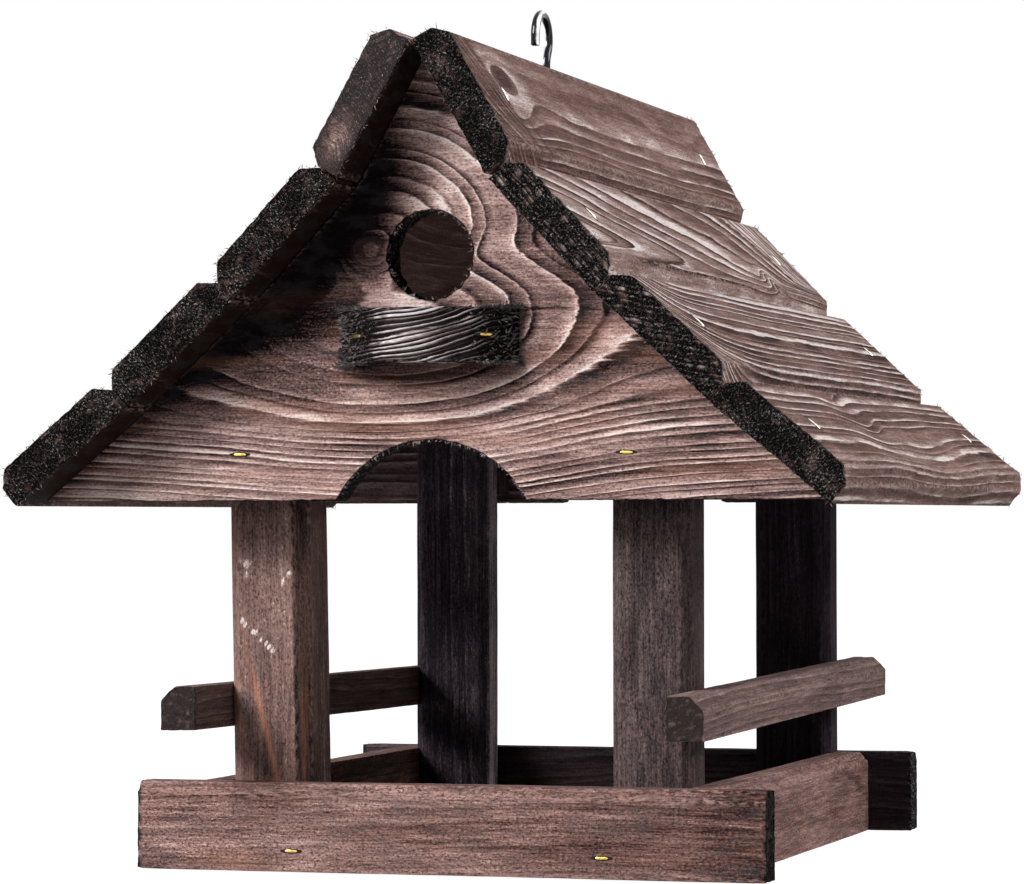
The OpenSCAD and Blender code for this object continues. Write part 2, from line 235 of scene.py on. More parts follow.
def closed_skin(name, rows, material, slot, looped=False, **fields):
    """A closed surface through rows of points in millimetres, each row a loop. The last row joins the first,
    or one point in the middle closes each end. The fields hold a number or a vector for each point."""
    count, n = rows.shape[:2]
    plain = {"figure": 1.0, "speck": 1.0, "tone": 0.0, "knot": 0.0, "warm": 0.0}
    fields = {**{key: np.full((count, n), v) for key, v in plain.items()}, **fields}
    values = {key: with_ends(np.asarray(v, float).reshape(count, n, -1), looped) for key, v in fields.items()}
    points = with_ends(rows, looped)
    return fitted(name, points, skin_faces(points, count, n, looped), material, slot, **values)


def worn_outline(corners, wear, step):
    """Points round a cut section, about a step apart, with each corner turned by a short curve of the wear's
    size: p = (1-t)^2 a + 2t(1-t) corner + t^2 b. Also gives the outward normals, and how far each point lies
    from the nearest corner."""
    corners = np.asarray(corners, float)
    points = []
    edge = []
    for before, here, after in zip(np.roll(corners, 1, 0), corners, np.roll(corners, -1, 0)):
        back, forth = np.linalg.norm(before - here), np.linalg.norm(after - here)
        a = here + (before - here) / back * min(wear, 0.3 * back)
        b = here + (after - here) / forth * min(wear, 0.3 * forth)
        t = np.linspace(0, 1, 4)[:, None]
        points.append((1 - t) ** 2 * a + 2 * t * (1 - t) * here + t * t * b)
        edge.append(np.zeros(4))
        run = forth - 2 * min(wear, 0.3 * forth)
        inner = np.arange(1, max(round(run / step), 1)) / max(round(run / step), 1)
        points.append(b + (after - here) / forth * run * inner[:, None])
        edge.append(np.minimum(inner, 1 - inner) * run)
    loop = np.concatenate(points)
    tangent = np.roll(loop, -1, 0) - np.roll(loop, 1, 0)
    normal = np.stack([tangent[:, 1], -tangent[:, 0]], 1) / np.linalg.norm(tangent, axis=1)[:, None]
    area = np.sum(loop[:, 0] * np.roll(loop[:, 1], -1) - loop[:, 1] * np.roll(loop[:, 0], -1))
    return loop, normal * np.sign(area), np.concatenate(edge)


def grown(u, v, w, pith, bows=(), ring=3.4, seed=1):
    """Growth rings counted from the pith: the distance of a point from a line along the board, over the width
    of a ring. Each bow (at, reach, dv, dw) moves the line by a bell curve along the board. A slow wander
    bends the rings."""
    pv = np.full_like(u, pith[0])
    pw = np.full_like(u, pith[1])
    for at, reach, dv, dw in bows:
        pv = pv + dv * bell(u, at, reach)
        pw = pw + dw * bell(u, at, reach)
    here = np.stack([u, v, w], -1)
    slow = 0.40 * wander(here, (46, 17, 17), seed) + 0.15 * wander(here, (17, 5, 5), seed + 7)
    return np.hypot(v - pv, w - pw) / ring + slow


def board(name, corners, length, origin, along, across, out, material, slot, wood, step=1.1, wear=0.5,
          torn=0.5, sway=0.18, seed=1, lean=(0, 0, 0), shift=(0, 0, 0), end_rings=None, bare=None, tight=0.0):
    """A board: its cut section is carried along the grain, and rings of points close each end. u runs along
    the board from its middle, v across it and w out of it. Faces sink by a slow wander and ends by a fine
    one, and the lean moves the two ends apart, by so much at each."""
    loop, normal, edge = worn_outline(corners, wear, step)
    middle = loop.mean(0)
    half = length / 2
    stations = np.linspace(-half + wear, half - wear, max(int(length / (1.3 * step)), 4))
    scales = np.linspace(0.08, 1, 15) ** 0.8
    cap = middle + (loop - normal * wear - middle) * scales[:, None, None]
    turn = (loop - normal * wear * 0.3)[None]
    section = np.concatenate([cap, turn, np.repeat(loop[None], len(stations), 0), turn, cap[::-1]])
    at_end = np.full(len(scales), half)
    u = np.concatenate([-at_end, [-half + 0.3 * wear], stations, [half - 0.3 * wear], at_end])
    u = np.repeat(u[:, None], len(loop), 1)
    v, w = section[..., 0], section[..., 1]
    here = np.stack([u, v, w], -1)
    is_end = np.abs(u) > half - 0.1 * wear
    rim = np.where(is_end, np.linalg.norm(section - loop, axis=-1), np.minimum(edge, half - np.abs(u)))
    cut = np.clip((np.abs(u) - half + 0.8 + 0.7 * wander(here, (1.4, 1.4, 1.4), seed + 5)) / 0.6, 0, 1)

    sink = sway * (0.5 + 0.5 * wander(here, (38, 9, 9), seed))
    sink = sink + 0.05 * (1 + wander(here, (9, 2.5, 2.5), seed + 1))
    sink = sink * (1 - tight * np.abs(normal[None, :, 0]))
    frayed = np.exp(-np.maximum(half - np.abs(u), 0) / 1.3) * torn
    sink = sink + frayed * np.clip(0.25 + wander(here, (1.6, 1.6, 1.6), seed + 2), 0, 1)
    pit = 0.45 + 0.5 * wander(here, (2.0, 1.5, 1.5), seed + 3) + 0.5 * wander(here, (3, 4, 4), seed)
    u_sunk = np.where(is_end, u - np.sign(u) * torn * np.clip(pit, 0, 2), u)[..., None]
    v_sunk = np.where(is_end, v, v - normal[None, :, 0] * sink)[..., None]
    w_sunk = np.where(is_end, w, w - normal[None, :, 1] * sink)[..., None]
    rows = np.add(origin, shift) + np.multiply(lean, (u / half)[..., None])
    rows = rows + u_sunk * along + v_sunk * across + w_sunk * out

    fields = wood(u, v, w)
    fields = fields if isinstance(fields, dict) else {"rings": fields}
    if bare:
        cut = cut * (1 - is_end * bare(v, w))
    if end_rings:
        seen = end_rings(v, w) + 0.3 * wander(here, (5, 5, 5), seed + 6)
        fields["rings"] = np.where(is_end, seen, fields["rings"])
    fields = {"cut": cut, "edge": np.exp(-rim / 0.9), "fibre": here, **fields}
    return closed_skin(name, rows, material, slot, **fields)


def shade_ramp(tree, x, *stops):
    """A ramp over x through stops of a place and a shade, which is a number or a colour."""
    made = shader(tree, "ValToRGB", Fac=x)
    while len(made.color_ramp.elements) < len(stops):
        made.color_ramp.elements.new(0.5)
    for element, (at, shade) in zip(made.color_ramp.elements, stops):
        element.position = at
        element.color = (*shade, 1) if isinstance(shade, tuple) else (shade, shade, shade, 1)
    return made.outputs[0]


def stained(name, dark, mid, pale, glint, rings=0.5, fibres=0.45, blotch=0.5, specks=0.5, dashes=0.3,
            relief=0.4, late_from=0.35, end_dark=(0.0020, 0.0012, 0.0012), end_pale=(0.80, 0.72, 0.70),
            end_lines=1.0, end_specks=0.35, knot_colour=(0.050, 0.022, 0.020), grey=0.3, grain=0.75,
            seed=0.0):
    """Stained wood. The ring count gives the pale lines of late wood, noise stretched along the fibres gives
    streaks, dashes and open pores, cut ends are soaked nearly black with pale torn fibres painted bright as
    glints, and arrises are rubbed. The fields figure, speck, tone and warm change the rings, the pores and
    the shade by place."""
    made, t = blank_material(name)

    def value(operation, a, b=0.0, c=0.0, clamp=False):
        return shader(t, "Math", {"operation": operation, "use_clamp": clamp}, _0=a, _1=b, _2=c).outputs[0]

    def ramp(x, *stops):
        return shade_ramp(t, x, *stops)

    def noise(scale, detail=3.0, roughness=0.6, offset=0.0):
        placed = shader(t, "Mapping", Vector=fibre, Location=(offset + seed, offset, 3 * seed), Scale=scale)
        return shader(t, "TexNoise", Vector=placed.outputs[0], Scale=1.0, Detail=detail,
                      Roughness=roughness).outputs[0]

    def mix(factor, a, b):
        return shader(t, "Mix", {"data_type": "RGBA"}, _0=factor, _6=a, _7=b).outputs[2]

    def field(key, output="Fac"):
        return shader(t, "Attribute", {"attribute_name": key}).outputs[output]

    fibre = field("fibre", "Vector")
    cut, speck = field("cut"), field("speck")

    # Late wood: each ring climbs slowly to a pale line and drops off sharply
    fine = noise((0.10, 1.9, 1.9), 4.0, 0.75, 0.0)
    sway = noise((0.06, 0.7, 0.7), 3.0, 0.6, 11.0)
    count = value("ADD", field("rings"), seed)
    uneven = shader(t, "TexNoise", {"noise_dimensions": "1D"}, W=count, Scale=0.8, Detail=1.0).outputs[0]
    turned = value("MULTIPLY_ADD", value("SUBTRACT", uneven, 0.5), 1.1, field("rings"))
    turned = value("MULTIPLY_ADD", value("SUBTRACT", sway, 0.5), 0.35, turned)
    turned = value("MULTIPLY_ADD", value("SUBTRACT", fine, 0.5), 0.18, turned)
    phase = value("FRACT", turned)
    whole = value("ADD", value("FLOOR", turned), seed)
    each = shader(t, "TexWhiteNoise", {"noise_dimensions": "1D"}, W=whole).outputs[0]
    late = ramp(phase, (0.0, 0.12), (0.09, 0.0), (late_from, 0.30), (0.74, 0.66), (0.91, 0.95), (1.0, 0.15))
    late = value("MULTIPLY", late, value("MULTIPLY_ADD", each, 0.8, 0.5))
    lively = ramp(noise((0.030, 0.11, 0.11), 2.0, 0.5, 41.0), (0.36, 0.0), (0.62, 1.0))
    figured = value("MULTIPLY", field("figure"), value("MULTIPLY_ADD", lively, rings, 0.45 * rings))

    # Fibres: long fine streaks, coarser ones under them, dark dashes and grit
    coarse = noise((0.035, 0.7, 0.7), 3.0, 0.65, 5.0)
    dash = noise((0.24, 1.5, 1.5), 3.0, 0.65, 15.0)
    grit = noise((0.95, 1.5, 1.5), 3.0, 0.85, 9.0)
    patch = noise((0.014, 0.06, 0.06), 3.0, 0.6, 2.0)
    cloud = noise((0.09, 0.2, 0.2), 3.0, 0.6, 27.0)
    streak = value("ADD", value("MULTIPLY", fine, 0.55), value("MULTIPLY", coarse, 0.45))
    streak = ramp(streak, (0.37, 0.0), (0.63, 1.0))
    pores = value("MULTIPLY", ramp(grit, (0.32, 1.0), (0.44, 0.0)), speck)
    pores = value("MULTIPLY", pores, specks, clamp=True)
    # Pale specks from the grit noise, where the speck field allows
    pale_specks = value("MULTIPLY", ramp(grit, (0.58, 0.0), (0.72, 1.0)), speck)
    pale_specks = value("MULTIPLY", pale_specks, specks, clamp=True)

    tone = value("MULTIPLY_ADD", value("SUBTRACT", late, 0.36), figured, 0.40)
    for swing, strength in ((streak, fibres), (patch, blotch * 1.6), (cloud, blotch * 0.9), (grit, grain)):
        tone = value("MULTIPLY_ADD", value("SUBTRACT", swing, 0.5), strength, tone)
    tone = value("ADD", tone, field("tone"))
    tone = value("MULTIPLY_ADD", pale_specks, 0.35, tone)
    tone = value("MULTIPLY_ADD", ramp(dash, (0.30, 1.0), (0.43, 0.0)), -dashes, tone)
    tone = value("MULTIPLY", tone, value("MULTIPLY_ADD", pores, -0.8, 1.0), clamp=True)
    wood = ramp(tone, (0.0, dark), (0.36, mid), (0.72, pale), (1.0, glint))
    ash = tuple(sum(mid) / 3 * k for k in (1.02, 0.98, 1.05))
    faded = mix(0.5, wood, (*ash, 1))
    wood = mix(value("MULTIPLY", ramp(cloud, (0.40, 1.0), (0.55, 0.0)), grey), wood, faded)
    resin = mix(ramp(fine, (0.4, 0.0), (0.6, 0.5)), (*knot_colour, 1), (*mid, 1))
    wood = mix(value("MULTIPLY", field("knot"), 0.9), wood, resin)
    wood = mix(field("warm"), wood, mix(streak, (0.20, 0.075, 0.045, 1), (0.55, 0.27, 0.17, 1)))
    rubbed = ramp(noise((0.4, 0.8, 0.8), 3.0, 0.6, 21.0), (0.46, 0.0), (0.62, 0.8))
    wood = mix(value("MULTIPLY", field("edge"), rubbed), wood, (*pale, 1))

    # Cut ends: soaked almost black, with pale torn fibres painted bright as glints
    ragged = noise((1.15, 1.35, 1.15), 4.0, 0.92, 31.3)
    torn_fibres_and_glints = ramp(ragged, (0.53, 0.0), (0.60, 0.20), (0.655, 1.0))
    lines = value("MULTIPLY", ramp(phase, (0.0, 0.0), (0.40, 0.0), (0.72, 1.0), (1.0, 0.0)), end_lines)
    torn_fibres_and_glints = value("MULTIPLY", torn_fibres_and_glints, value("MULTIPLY_ADD", lines, 1.2, end_specks))
    soaked = mix(value("MULTIPLY_ADD", lines, 0.006, torn_fibres_and_glints, clamp=True), (*end_dark, 1), (*end_pale, 1))
    colour = mix(cut, wood, soaked)

    raised = value("MULTIPLY_ADD", late, figured, value("MULTIPLY", fine, 0.5))
    raised = value("MULTIPLY_ADD", grit, 0.45, raised)
    raised = value("MULTIPLY_ADD", pores, -0.5, raised)
    raised = value("MULTIPLY", raised, value("SUBTRACT", 1.0, cut))
    raised = value("MULTIPLY_ADD", value("MULTIPLY", ragged, 3.0), cut, raised)
    bumped = shader(t, "Bump", Strength=1.0, Distance=relief * 0.001, Height=raised)
    surface = shader(t, "BsdfPrincipled", Base_Color=colour, Roughness=0.7, Normal=bumped.outputs[0],
                     Specular_IOR_Level=0.02)
    shader(t, "OutputMaterial", Surface=surface.outputs[0])
    return made


# Tray. Two long rims run past two short ones between them, all ripped from a
# planed slat on edge, with one chamfered arris up and out, round a floor board.
rim_length, tray_depth, rim_height, rim_chamfer = 205.0, 232.0, 28.0, 3.2
plank = 12.0
side_x = 87.5
floor_x = side_x - plank
inner_y = tray_depth / 2 - plank


def ripped(height, chamfer):
    """The section of a slat on edge, v up and w out, with its upper outer corner cut off at 45 degrees."""
    return [(0, 0), (height, 0), (height, plank - chamfer), (height - chamfer, plank), (0, plank)]


def rim_figure(end):
    """The long rims' rings run level, with a bow. The front rim's right end is torn and dark, its left end
    has a dark and a pale patch and a warm one, and the flat of the chamfer has a faint painted highlight."""
    def figure(u, v, w):
        here = np.stack([u, v, w], -1)
        rings = grown(u, v, w, (60, 25), bows=[(40, 90, 6, 0)], ring=2.6, seed=3 + end)
        tone = 0.10 * bell(u, -40, 45) - 0.20 * stair(u, 88, 6) - 0.05 * stair(u, -8, 12)
        tone = tone - 0.20 * spot(u, v, -52, 24, 14, 5.6) + 0.15 * spot(u, v, -48, 4, 9, 3)
        # The last term is a faint painted highlight on the flat of the chamfer
        tone = tone + 0.05 * wander(here, (30, 6, 6), 77) + 0.16 * stair(v + w, 37.5, 0.2)
        warm = 0.35 * spot(u, v, -70, 3, 12, 4) + 0.10 * np.clip(wander(here, (20, 5, 5), 79), 0, 1)
        return {"rings": rings, "tone": tone, "speck": 1 + 0.4 * wander(here, (22, 9, 9), 78), "warm": warm}
    return figure


tray_brown = stained("tray_stain", (0.022, 0.010, 0.009), (0.165, 0.088, 0.076), (0.36, 0.220, 0.195),
                     (0.64, 0.48, 0.45), rings=0.20, fibres=0.50, specks=1.2, blotch=0.45, grey=0.4,
                     end_pale=(0.16, 0.15, 0.13), seed=1.0)
tray_dark = stained("back_rim_stain", (0.016, 0.010, 0.014), (0.050, 0.034, 0.042), (0.110, 0.078, 0.088),
                    (0.20, 0.16, 0.17), rings=0.35, fibres=0.4, seed=2.0)
for name, end, look in (("front_rim", -1, tray_brown), ("back_rim", 1, tray_dark)):
    board(name, ripped(rim_height, rim_chamfer), rim_length, (0, end * inner_y, 0), (1, 0, 0), (0, 0, 1),
          (0, end, 0), look, "tray_wood", rim_figure(end), seed=11 + end, torn=0.8, step=1.0)


def side_rim_figure(u, v, w):
    """Five or six long pale lines, and a bare pink patch low down at the front."""
    rings = grown(u, v, w, (26, -50), bows=[(0, 150, 10, 8)], ring=2.4, seed=6) + 0.16 * v
    return {"rings": rings, "tone": 0.12 * spot(u, v, -70, 7, 18, 9), "figure": np.full_like(u, 1.6)}


for name, side in (("left_rim", -1), ("right_rim", 1)):
    board(name, ripped(rim_height, rim_chamfer), 2 * inner_y, (side * floor_x, 0, 0), (0, 1, 0), (0, 0, 1),
          (side, 0, 0), tray_brown, "tray_wood", side_rim_figure, seed=21 + side)

floor_brown = stained("floor_stain", (0.015, 0.009, 0.008), (0.05, 0.030, 0.027), (0.10, 0.065, 0.058),
                      (0.2, 0.14, 0.13), seed=3.0)
board("floor_board", [(-floor_x, 0), (floor_x, 0), (floor_x, plank), (-floor_x, plank)], 2 * inner_y,
      (0, 0, 0), (0, 1, 0), (1, 0, 0), (0, 0, 1), floor_brown, "floor_wood",
      lambda u, v, w: grown(u, v, w, (10, -40), ring=3.6, seed=9), step=2.2, seed=31)


# Posts and cleats. Planed battens with four chamfered arrises stand in the
# tray's corners and end under the roof. A cleat joins each to a gable.
post_low, post_high = (1000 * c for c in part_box("front_right_post"))
post_chamfer = 3.2
post_width, post_depth, post_length = post_high - post_low
post_x, post_y = floor_x - post_width / 2, inner_y - post_depth / 2


def chamfered(left, right, depth, c, back=0.0, bold=0.0):
    """A rectangle with its four corners cut off at 45 degrees, the one in front on the right by so much more.
    Its front keeps its place as the back grows."""
    y, low, b = depth / 2, -depth / 2 - back, c + bold
    return [(c - left, low), (right - c, low), (right, low + c), (right, y - b), (right - b, y),
            (c - left, y), (-left, y - c), (-left, low + c)]


def post_figure(k):
    """Upright rings with one bow, and a painted shadow at the top of the front posts, under the gable. The
    back left post's right side is painted lighter, as if lit from the right.
    """
    def figure(u, v, w):
        here = np.stack([u, v, w], -1)
        rings = grown(u, v, w, (4 + 5 * k, -14), bows=[(0, 80, 4, 3)], ring=1.9, seed=13 + k)
        # The tone darkens the two front posts' tops as a painted shadow under the gable
        tone = 0.06 * wander(here, (24, 6, 6), 60 + k) - (0.25, 0.35, 0, 0)[k] * stair(u, 28, 1.5)
        # The back left post's right side face is painted lighter, as if lit from the right
        if k == 2:
            tone = tone + 0.55 * stair(v, 12.7, 0.15) * (0.8 + 0.4 * wander(here, (30, 2, 1.2), 65))
        fields = {"rings": rings, "tone": tone, "speck": np.full_like(u, 1.3)}
        if k == 0:
            fields["tone"] = tone + front_left_tone(u, v, w, here)
            fields["warm"] = front_left_warm(u, v)
        return fields
    return figure


def front_left_tone(u, v, w, here):
    """The front left post: its chamfer on the right painted dark as shade and the face behind it painted
    light, painted shade at the foot and the top, and white nicks in the stain, some along a slanting trail
    and some in two spots."""
    # Painted shade on the front right chamfer, and painted light on the side face behind it
    tone = 0.15 - 0.46 * stair(v + w, 16.6, 0.15) * stair(-v, -12.9, 0.1) + 0.14 * stair(v, 12.95, 0.05)
    # Painted shade over the upper half and at the foot
    tone = tone - 0.14 * stair(u, 10, 5) - 0.06 * stair(-u, 20, 12)
    trail = bell(u + 0.95 * v + 14 + 0.6 * wander(here, (2, 2, 2), 62), 0, 0.55) * (np.abs(v + 3.8) < 5.8)
    nick = np.clip(3 * wander(here, (1.1, 1.0, 4), 63), 0, 1)
    spots = spot(u, v, 8, 6.5, 2.5, 2.5) + 0.6 * spot(u, v, 11, -8, 3.5, 3.5)
    return tone + 1.6 * (w > 5) * nick * np.clip(trail + 0.6 * spots, 0, 1)


def front_left_warm(u, v):
    """Two warm streaks that rise to the left, and a straight one near the right edge, all low on the post."""
    low = np.clip((-8 - u) / 22, 0, 1)
    rising = 0.95 * bell(v, -0.5 - 0.24 * (u + 45), 1.0) + 0.45 * bell(v, -8.6 - 0.20 * (u + 45), 0.8)
    return low * (rising + 0.5 * bell(v, 10.6, 0.7))


front_left_brown = stained("front_left_post_stain", (0.022, 0.011, 0.010), (0.150, 0.086, 0.076),
                           (0.320, 0.200, 0.170), (0.85, 0.74, 0.72), fibres=0.36, rings=0.12, specks=0.6,
                           grain=0.5, blotch=0.35, dashes=0.15, seed=4.0)
front_right_brown = stained("front_right_post_stain", (0.016, 0.010, 0.011), (0.065, 0.044, 0.045),
                            (0.130, 0.092, 0.090), (0.24, 0.18, 0.18), fibres=0.5, rings=0.15, specks=0.9,
                            seed=5.0)
back_left_dark = stained("back_left_post_stain", (0.010, 0.007, 0.011), (0.030, 0.022, 0.031),
                         (0.10, 0.078, 0.085), (0.42, 0.35, 0.36), rings=0.3, seed=6.0)
back_right_dark = stained("back_right_post_stain", (0.008, 0.005, 0.008), (0.022, 0.015, 0.020),
                          (0.048, 0.036, 0.044), (0.09, 0.075, 0.085), rings=0.3, seed=7.0)
# Where each stands, how far it leans, and how much wider to the left and right, deeper, and bolder in the
# front right chamfer it is than the others
for k, (name, side, end, lean, wider_left, wider_right, deeper, bolder, look) in enumerate((
        ("front_left_post", -1, -1, -1.2, 0.55, 0, 7.0, 1.5, front_left_brown),
        ("front_right_post", 1, -1, 0, -0.5, 0.5, 3.6, 0, front_right_brown),
        ("back_left_post", -1, 1, 0, 1.4, 0.3, 0, 0, back_left_dark),
        ("back_right_post", 1, 1, 0, 0, 1.4, 0, 0, back_right_dark))):
    section = chamfered(post_width / 2 + wider_left, post_width / 2 + wider_right, post_depth, post_chamfer,
                        deeper, bolder)
    board(name, section, post_length, (side * post_x, end * post_y, plank + post_length / 2), (0, 0, 1),
          (1, 0, 0), (0, -1, 0), look, "post_wood", post_figure(k), seed=41 + k, step=0.9, lean=(lean, 0, 0))

for name in ("front_left_cleat", "front_right_cleat", "back_left_cleat", "back_right_cleat"):
    low, high = (1000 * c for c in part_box(name))
    wide, deep, tall = high - low
    board(name, [(0, 0), (wide, 0), (wide, deep), (0, deep)], tall, (low.x, low.y, low.z + tall / 2),
          (0, 0, 1), (1, 0, 0), (0, 1, 0), floor_brown, "hidden_wood",
          lambda u, v, w: grown(u, v, w, (8, -20), ring=3.0, seed=19), step=1.5, seed=51)


# Perch rails. Each is the other half of a ripped slat, with one chamfered
# arris up and out, nailed to the posts' outer faces and run past them.
rail_height, rail_z, rail_end, rail_chamfer = 14.0, 44.5, 134.0, 4.5
rail_brown = stained("rail_stain", (0.040, 0.023, 0.021), (0.130, 0.082, 0.074), (0.250, 0.168, 0.152),
                     (0.45, 0.35, 0.33), rings=0.4, end_dark=(0.040, 0.030, 0.028),
                     end_pale=(0.22, 0.19, 0.185), end_lines=0.6, seed=8.0)
for name, side, rise, tilt in (("left_perch_rail", -1, -0.6, -1.0), ("right_perch_rail", 1, 0.6, 1.6)):
    board(name, ripped(rail_height, rail_chamfer), 2 * rail_end, (side * floor_x, 0, rail_z), (0, 1, 0),
          (0, 0, 1), (side, 0, 0), rail_brown, "rail_wood",
          lambda u, v, w: grown(u, v, w, (30, -8), bows=[(-60, 120, 6, 4)], ring=2.2, seed=23),
          seed=61 + side, step=0.9, lean=(0, 0, tilt), shift=(0, 0, rise))


# Gables. Wide boards with the grain across, sawn to the roof's slopes, with an
# arch in the lower edge and, in the front one, a round hole beside a knot.
gable_thick, gable_z = 13.0, 116.5
gable_front = inner_y + 12.5 + gable_thick
hole_radius, arch_half, arch_rise = 13.75, 31.0, 18.5
slat_width, slat_chamfer, slat_gap = 47.5, 4.5, 0.4
eave_drop = 1.7
pitches = [math.radians(a) for a in (60.8, 46.5, 42.9, 39.8)]
seat = plank - slat_chamfer
slope_down = [np.array([math.cos(a), -math.sin(a)]) for a in pitches]
slope_out = [np.array([math.sin(a), math.cos(a)]) for a in pitches]
drop = ((slat_width + slat_gap) * sum(math.sin(a) for a in pitches[:3]) + slat_width * math.sin(pitches[3])
        + seat * (math.cos(pitches[3]) - math.cos(pitches[0])))
ridge_z = gable_z - eave_drop + drop
hole_z = gable_z + 0.54 * (ridge_z - gable_z)
joints = [np.array([slat_gap / 2, ridge_z]) + seat * slope_out[0]]
for i in range(3):
    joints.append(joints[-1] + (slat_width + slat_gap) * slope_down[i])
under = [joints[i] - seat * slope_out[i] for i in range(4)]


def crossing(p, along_p, q, along_q):
    """Where two lines in the gable's plane meet."""
    gap = q - p
    share = (gap[0] * along_q[1] - gap[1] * along_q[0]) / (along_p[0] * along_q[1] - along_p[1] * along_q[0])
    return p + along_p * share


peak = crossing(under[0], slope_down[0], np.zeros(2), np.array([0.0, 1.0]))
bends = [crossing(under[i], slope_down[i], under[i + 1], slope_down[i + 1]) for i in range(3)]
foot = crossing(under[3], slope_down[3], np.array([0.0, gable_z]), np.array([1.0, 0.0]))
arch_radius = (arch_half ** 2 + arch_rise ** 2) / (2 * arch_rise)
arch_middle = np.array([0, gable_z + arch_rise - arch_radius])
arch_angle = np.linspace(math.asin(arch_half / arch_radius), 0, 24)
arch = arch_middle + arch_radius * np.stack([np.sin(arch_angle), np.cos(arch_angle)], 1)
half_outline = np.array([peak, *bends, foot, *arch])
gable_outline = np.concatenate([half_outline, (half_outline * (-1, 1))[-2:0:-1]])


def spaced(outline, step):
    """Points about a step apart along a closed outline, with its corners kept."""
    runs = []
    for a, b in zip(outline, np.roll(outline, -1, 0)):
        parts = max(int(round(np.linalg.norm(b - a) / step)), 1)
        runs.append(a + (b - a) * np.arange(parts)[:, None] / parts)
    return np.concatenate(runs)


def gable(name, end, hole, wood, material, seed):
    """A gable as rays from the hole's centre to the outline: out along the outer face, over the edge, back
    along the inner face and through the hole. Without a hole the rays start at one point on each face. Each
    stretch has its shares of the way from the hole to the outline, its inset there, and its depth."""
    rim = spaced(gable_outline, 1.25)
    reach = np.linalg.norm(rim - (0, hole_z), axis=1)
    ray_x, ray_z = ((rim - (0, hole_z)) / reach[:, None]).T
    worn = 0.45
    face = np.linspace(0, 1, 86)[1:-1]
    wall = np.linspace(worn, gable_thick - worn, 12)
    stretches = [(face, 0, 0), ([1], worn, 0), (np.ones(12), 0, wall), ([1], worn, gable_thick),
                 (face[::-1], 0, gable_thick)]
    if hole:
        stretches = [([0], -worn, 0), *stretches, ([0], -worn, gable_thick), (np.zeros(12), 0, wall[::-1])]
    share, inset, depth = (np.concatenate([np.zeros(len(s[0])) + s[k] for s in stretches])[:, None]
                           for k in range(3))
    distance = hole + (reach - hole) * share - inset
    x = ray_x * distance
    z = hole_z + ray_z * distance
    w = np.repeat(depth, len(rim), 1)
    to_outline = reach - distance
    to_hole = distance - hole if hole else np.full_like(distance, 99.0)
    to_edge = np.minimum(to_outline, to_hole)
    in_wall = (depth > 0.2) & (depth < gable_thick - 0.2)

    here = np.stack([x, w, z], -1)
    hacked = 0.55 * np.clip(wander(here, (1.6, 3, 1.1), seed) + 0.25, 0, 1) * np.exp(-to_edge / 0.8)
    inward = np.where(to_outline < to_hole, -hacked, hacked)
    x = x + ray_x * inward
    z = z + ray_z * inward
    sunk = (0.12 + 0.12 * wander(here, (40, 12, 40), seed + 1)) * np.where(depth < 6, 1, -1) * ~in_wall
    rows = np.stack([x, end * (gable_front - w - sunk), z], -1)
    ragged = 0.55 + 0.35 * wander(here, (3, 3, 0.8), seed + 2)
    cut = np.clip(np.where(in_wall, 1.0, 1 - to_edge / ragged), 0, 1)
    return closed_skin(name, rows, material, "gable_wood", looped=hole > 0, cut=cut,
                       edge=0.6 * np.exp(-to_edge / 0.7), fibre=np.stack([x, z, w], -1), **wood(x, z, w))


def front_rings(x, z, w, from_knot):
    """Rings round the knot left of the hole, and under it round the shelf. The pith dips away from the face
    to both sides by a bell curve, so the rings close to ellipses near it and run level further out. The
    count is the smaller of the two, blended where they meet. Lower down the lines run closer and level."""
    here = np.stack([x, w, z], -1)
    dip_up = 40 - 26 * bell(x, -13.2, 38.5)
    dip_low = 38.5 - 23 * bell(x, -8.6, np.where(x > -8.6, 52.3, 74))
    upper = np.hypot(dip_up + 0.6 * w, 0.91 * (z - 201.3))
    lower = np.hypot(dip_low + 0.6 * w, z - 172.7)
    both = -2 * np.log(np.exp(-upper / 2) + np.exp(-lower / 2)) - 11 * bell(from_knot, 0, 9.5)
    rings = both / 3.35 + 0.2 * np.maximum(141 + 0.08 * np.maximum(x, 0) - z, 0)
    return rings + 0.22 * wander(here, (34, 12, 12), 71) + 0.07 * wander(here, (14, 4, 4), 72)


def front_tone(x, z, here, stain_and_roof_shadow):
    """Pale by the hole's right edge, under it, at the peak and along the foot, and dark over the knot, where
    stain and a painted shadow of the roof lie. A painted shadow lies in a bow under the shelf and in bands
    along both edges of the roof. A fine crack runs level to the right of the shelf."""
    tone = 0.14 * bell(z, 124, 11) * stair(-x, 30, 5) + 0.08 * stair(z, 214, 4)
    tone = tone + 0.30 * spot(x, z, -7, 179, 11.43, 2.67) + 0.40 * spot(x, z, 5, 211, 4.58, 6.88)
    # Darker where the stain round the knot and the painted shadow of the left roof slope lie
    tone = tone - (0.36 + 0.14 * stair(-x, 33, 4)) * stain_and_roof_shadow
    # Painted shadow of the shelf, in a bow just under it
    tone = tone - 0.35 * bell(z, 155.5 + 0.004 * x * x, 3.5) * stair(27 - np.abs(x), 0, 2)
    from_roof = np.interp(z, half_outline[4::-1, 1], half_outline[4::-1, 0]) - np.abs(x)
    # Painted shadow of the roof's overhang: a band along the left slope and a fainter one along the right
    tone = tone - 0.50 * stair(-x, 8, 3) * stair(5 + 11 * stair(z, 155, 6) - from_roof, 0, 3)
    tone = tone - 0.20 * stair(x, 8, 3) * stair(9 - from_roof, 0, 4) * stair(z, 150, 6) * stair(-z, -205, 6)
    tone = tone - 0.15 * spot(x, z, 42, 170, 17, 17) + 0.09 * stair(-z, -148, 4) * stair(-x, 12, 8)
    tone = tone + 0.05 * stair(-z, -142, 3) * stair(x, 18, 8) + 0.10 * wander(here, (22, 12, 7), 73)
    return tone - 0.6 * bell(z, 174.5 + 0.02 * x, 0.25) * stair(x, 20, 1) * stair(-x, -43, 1)


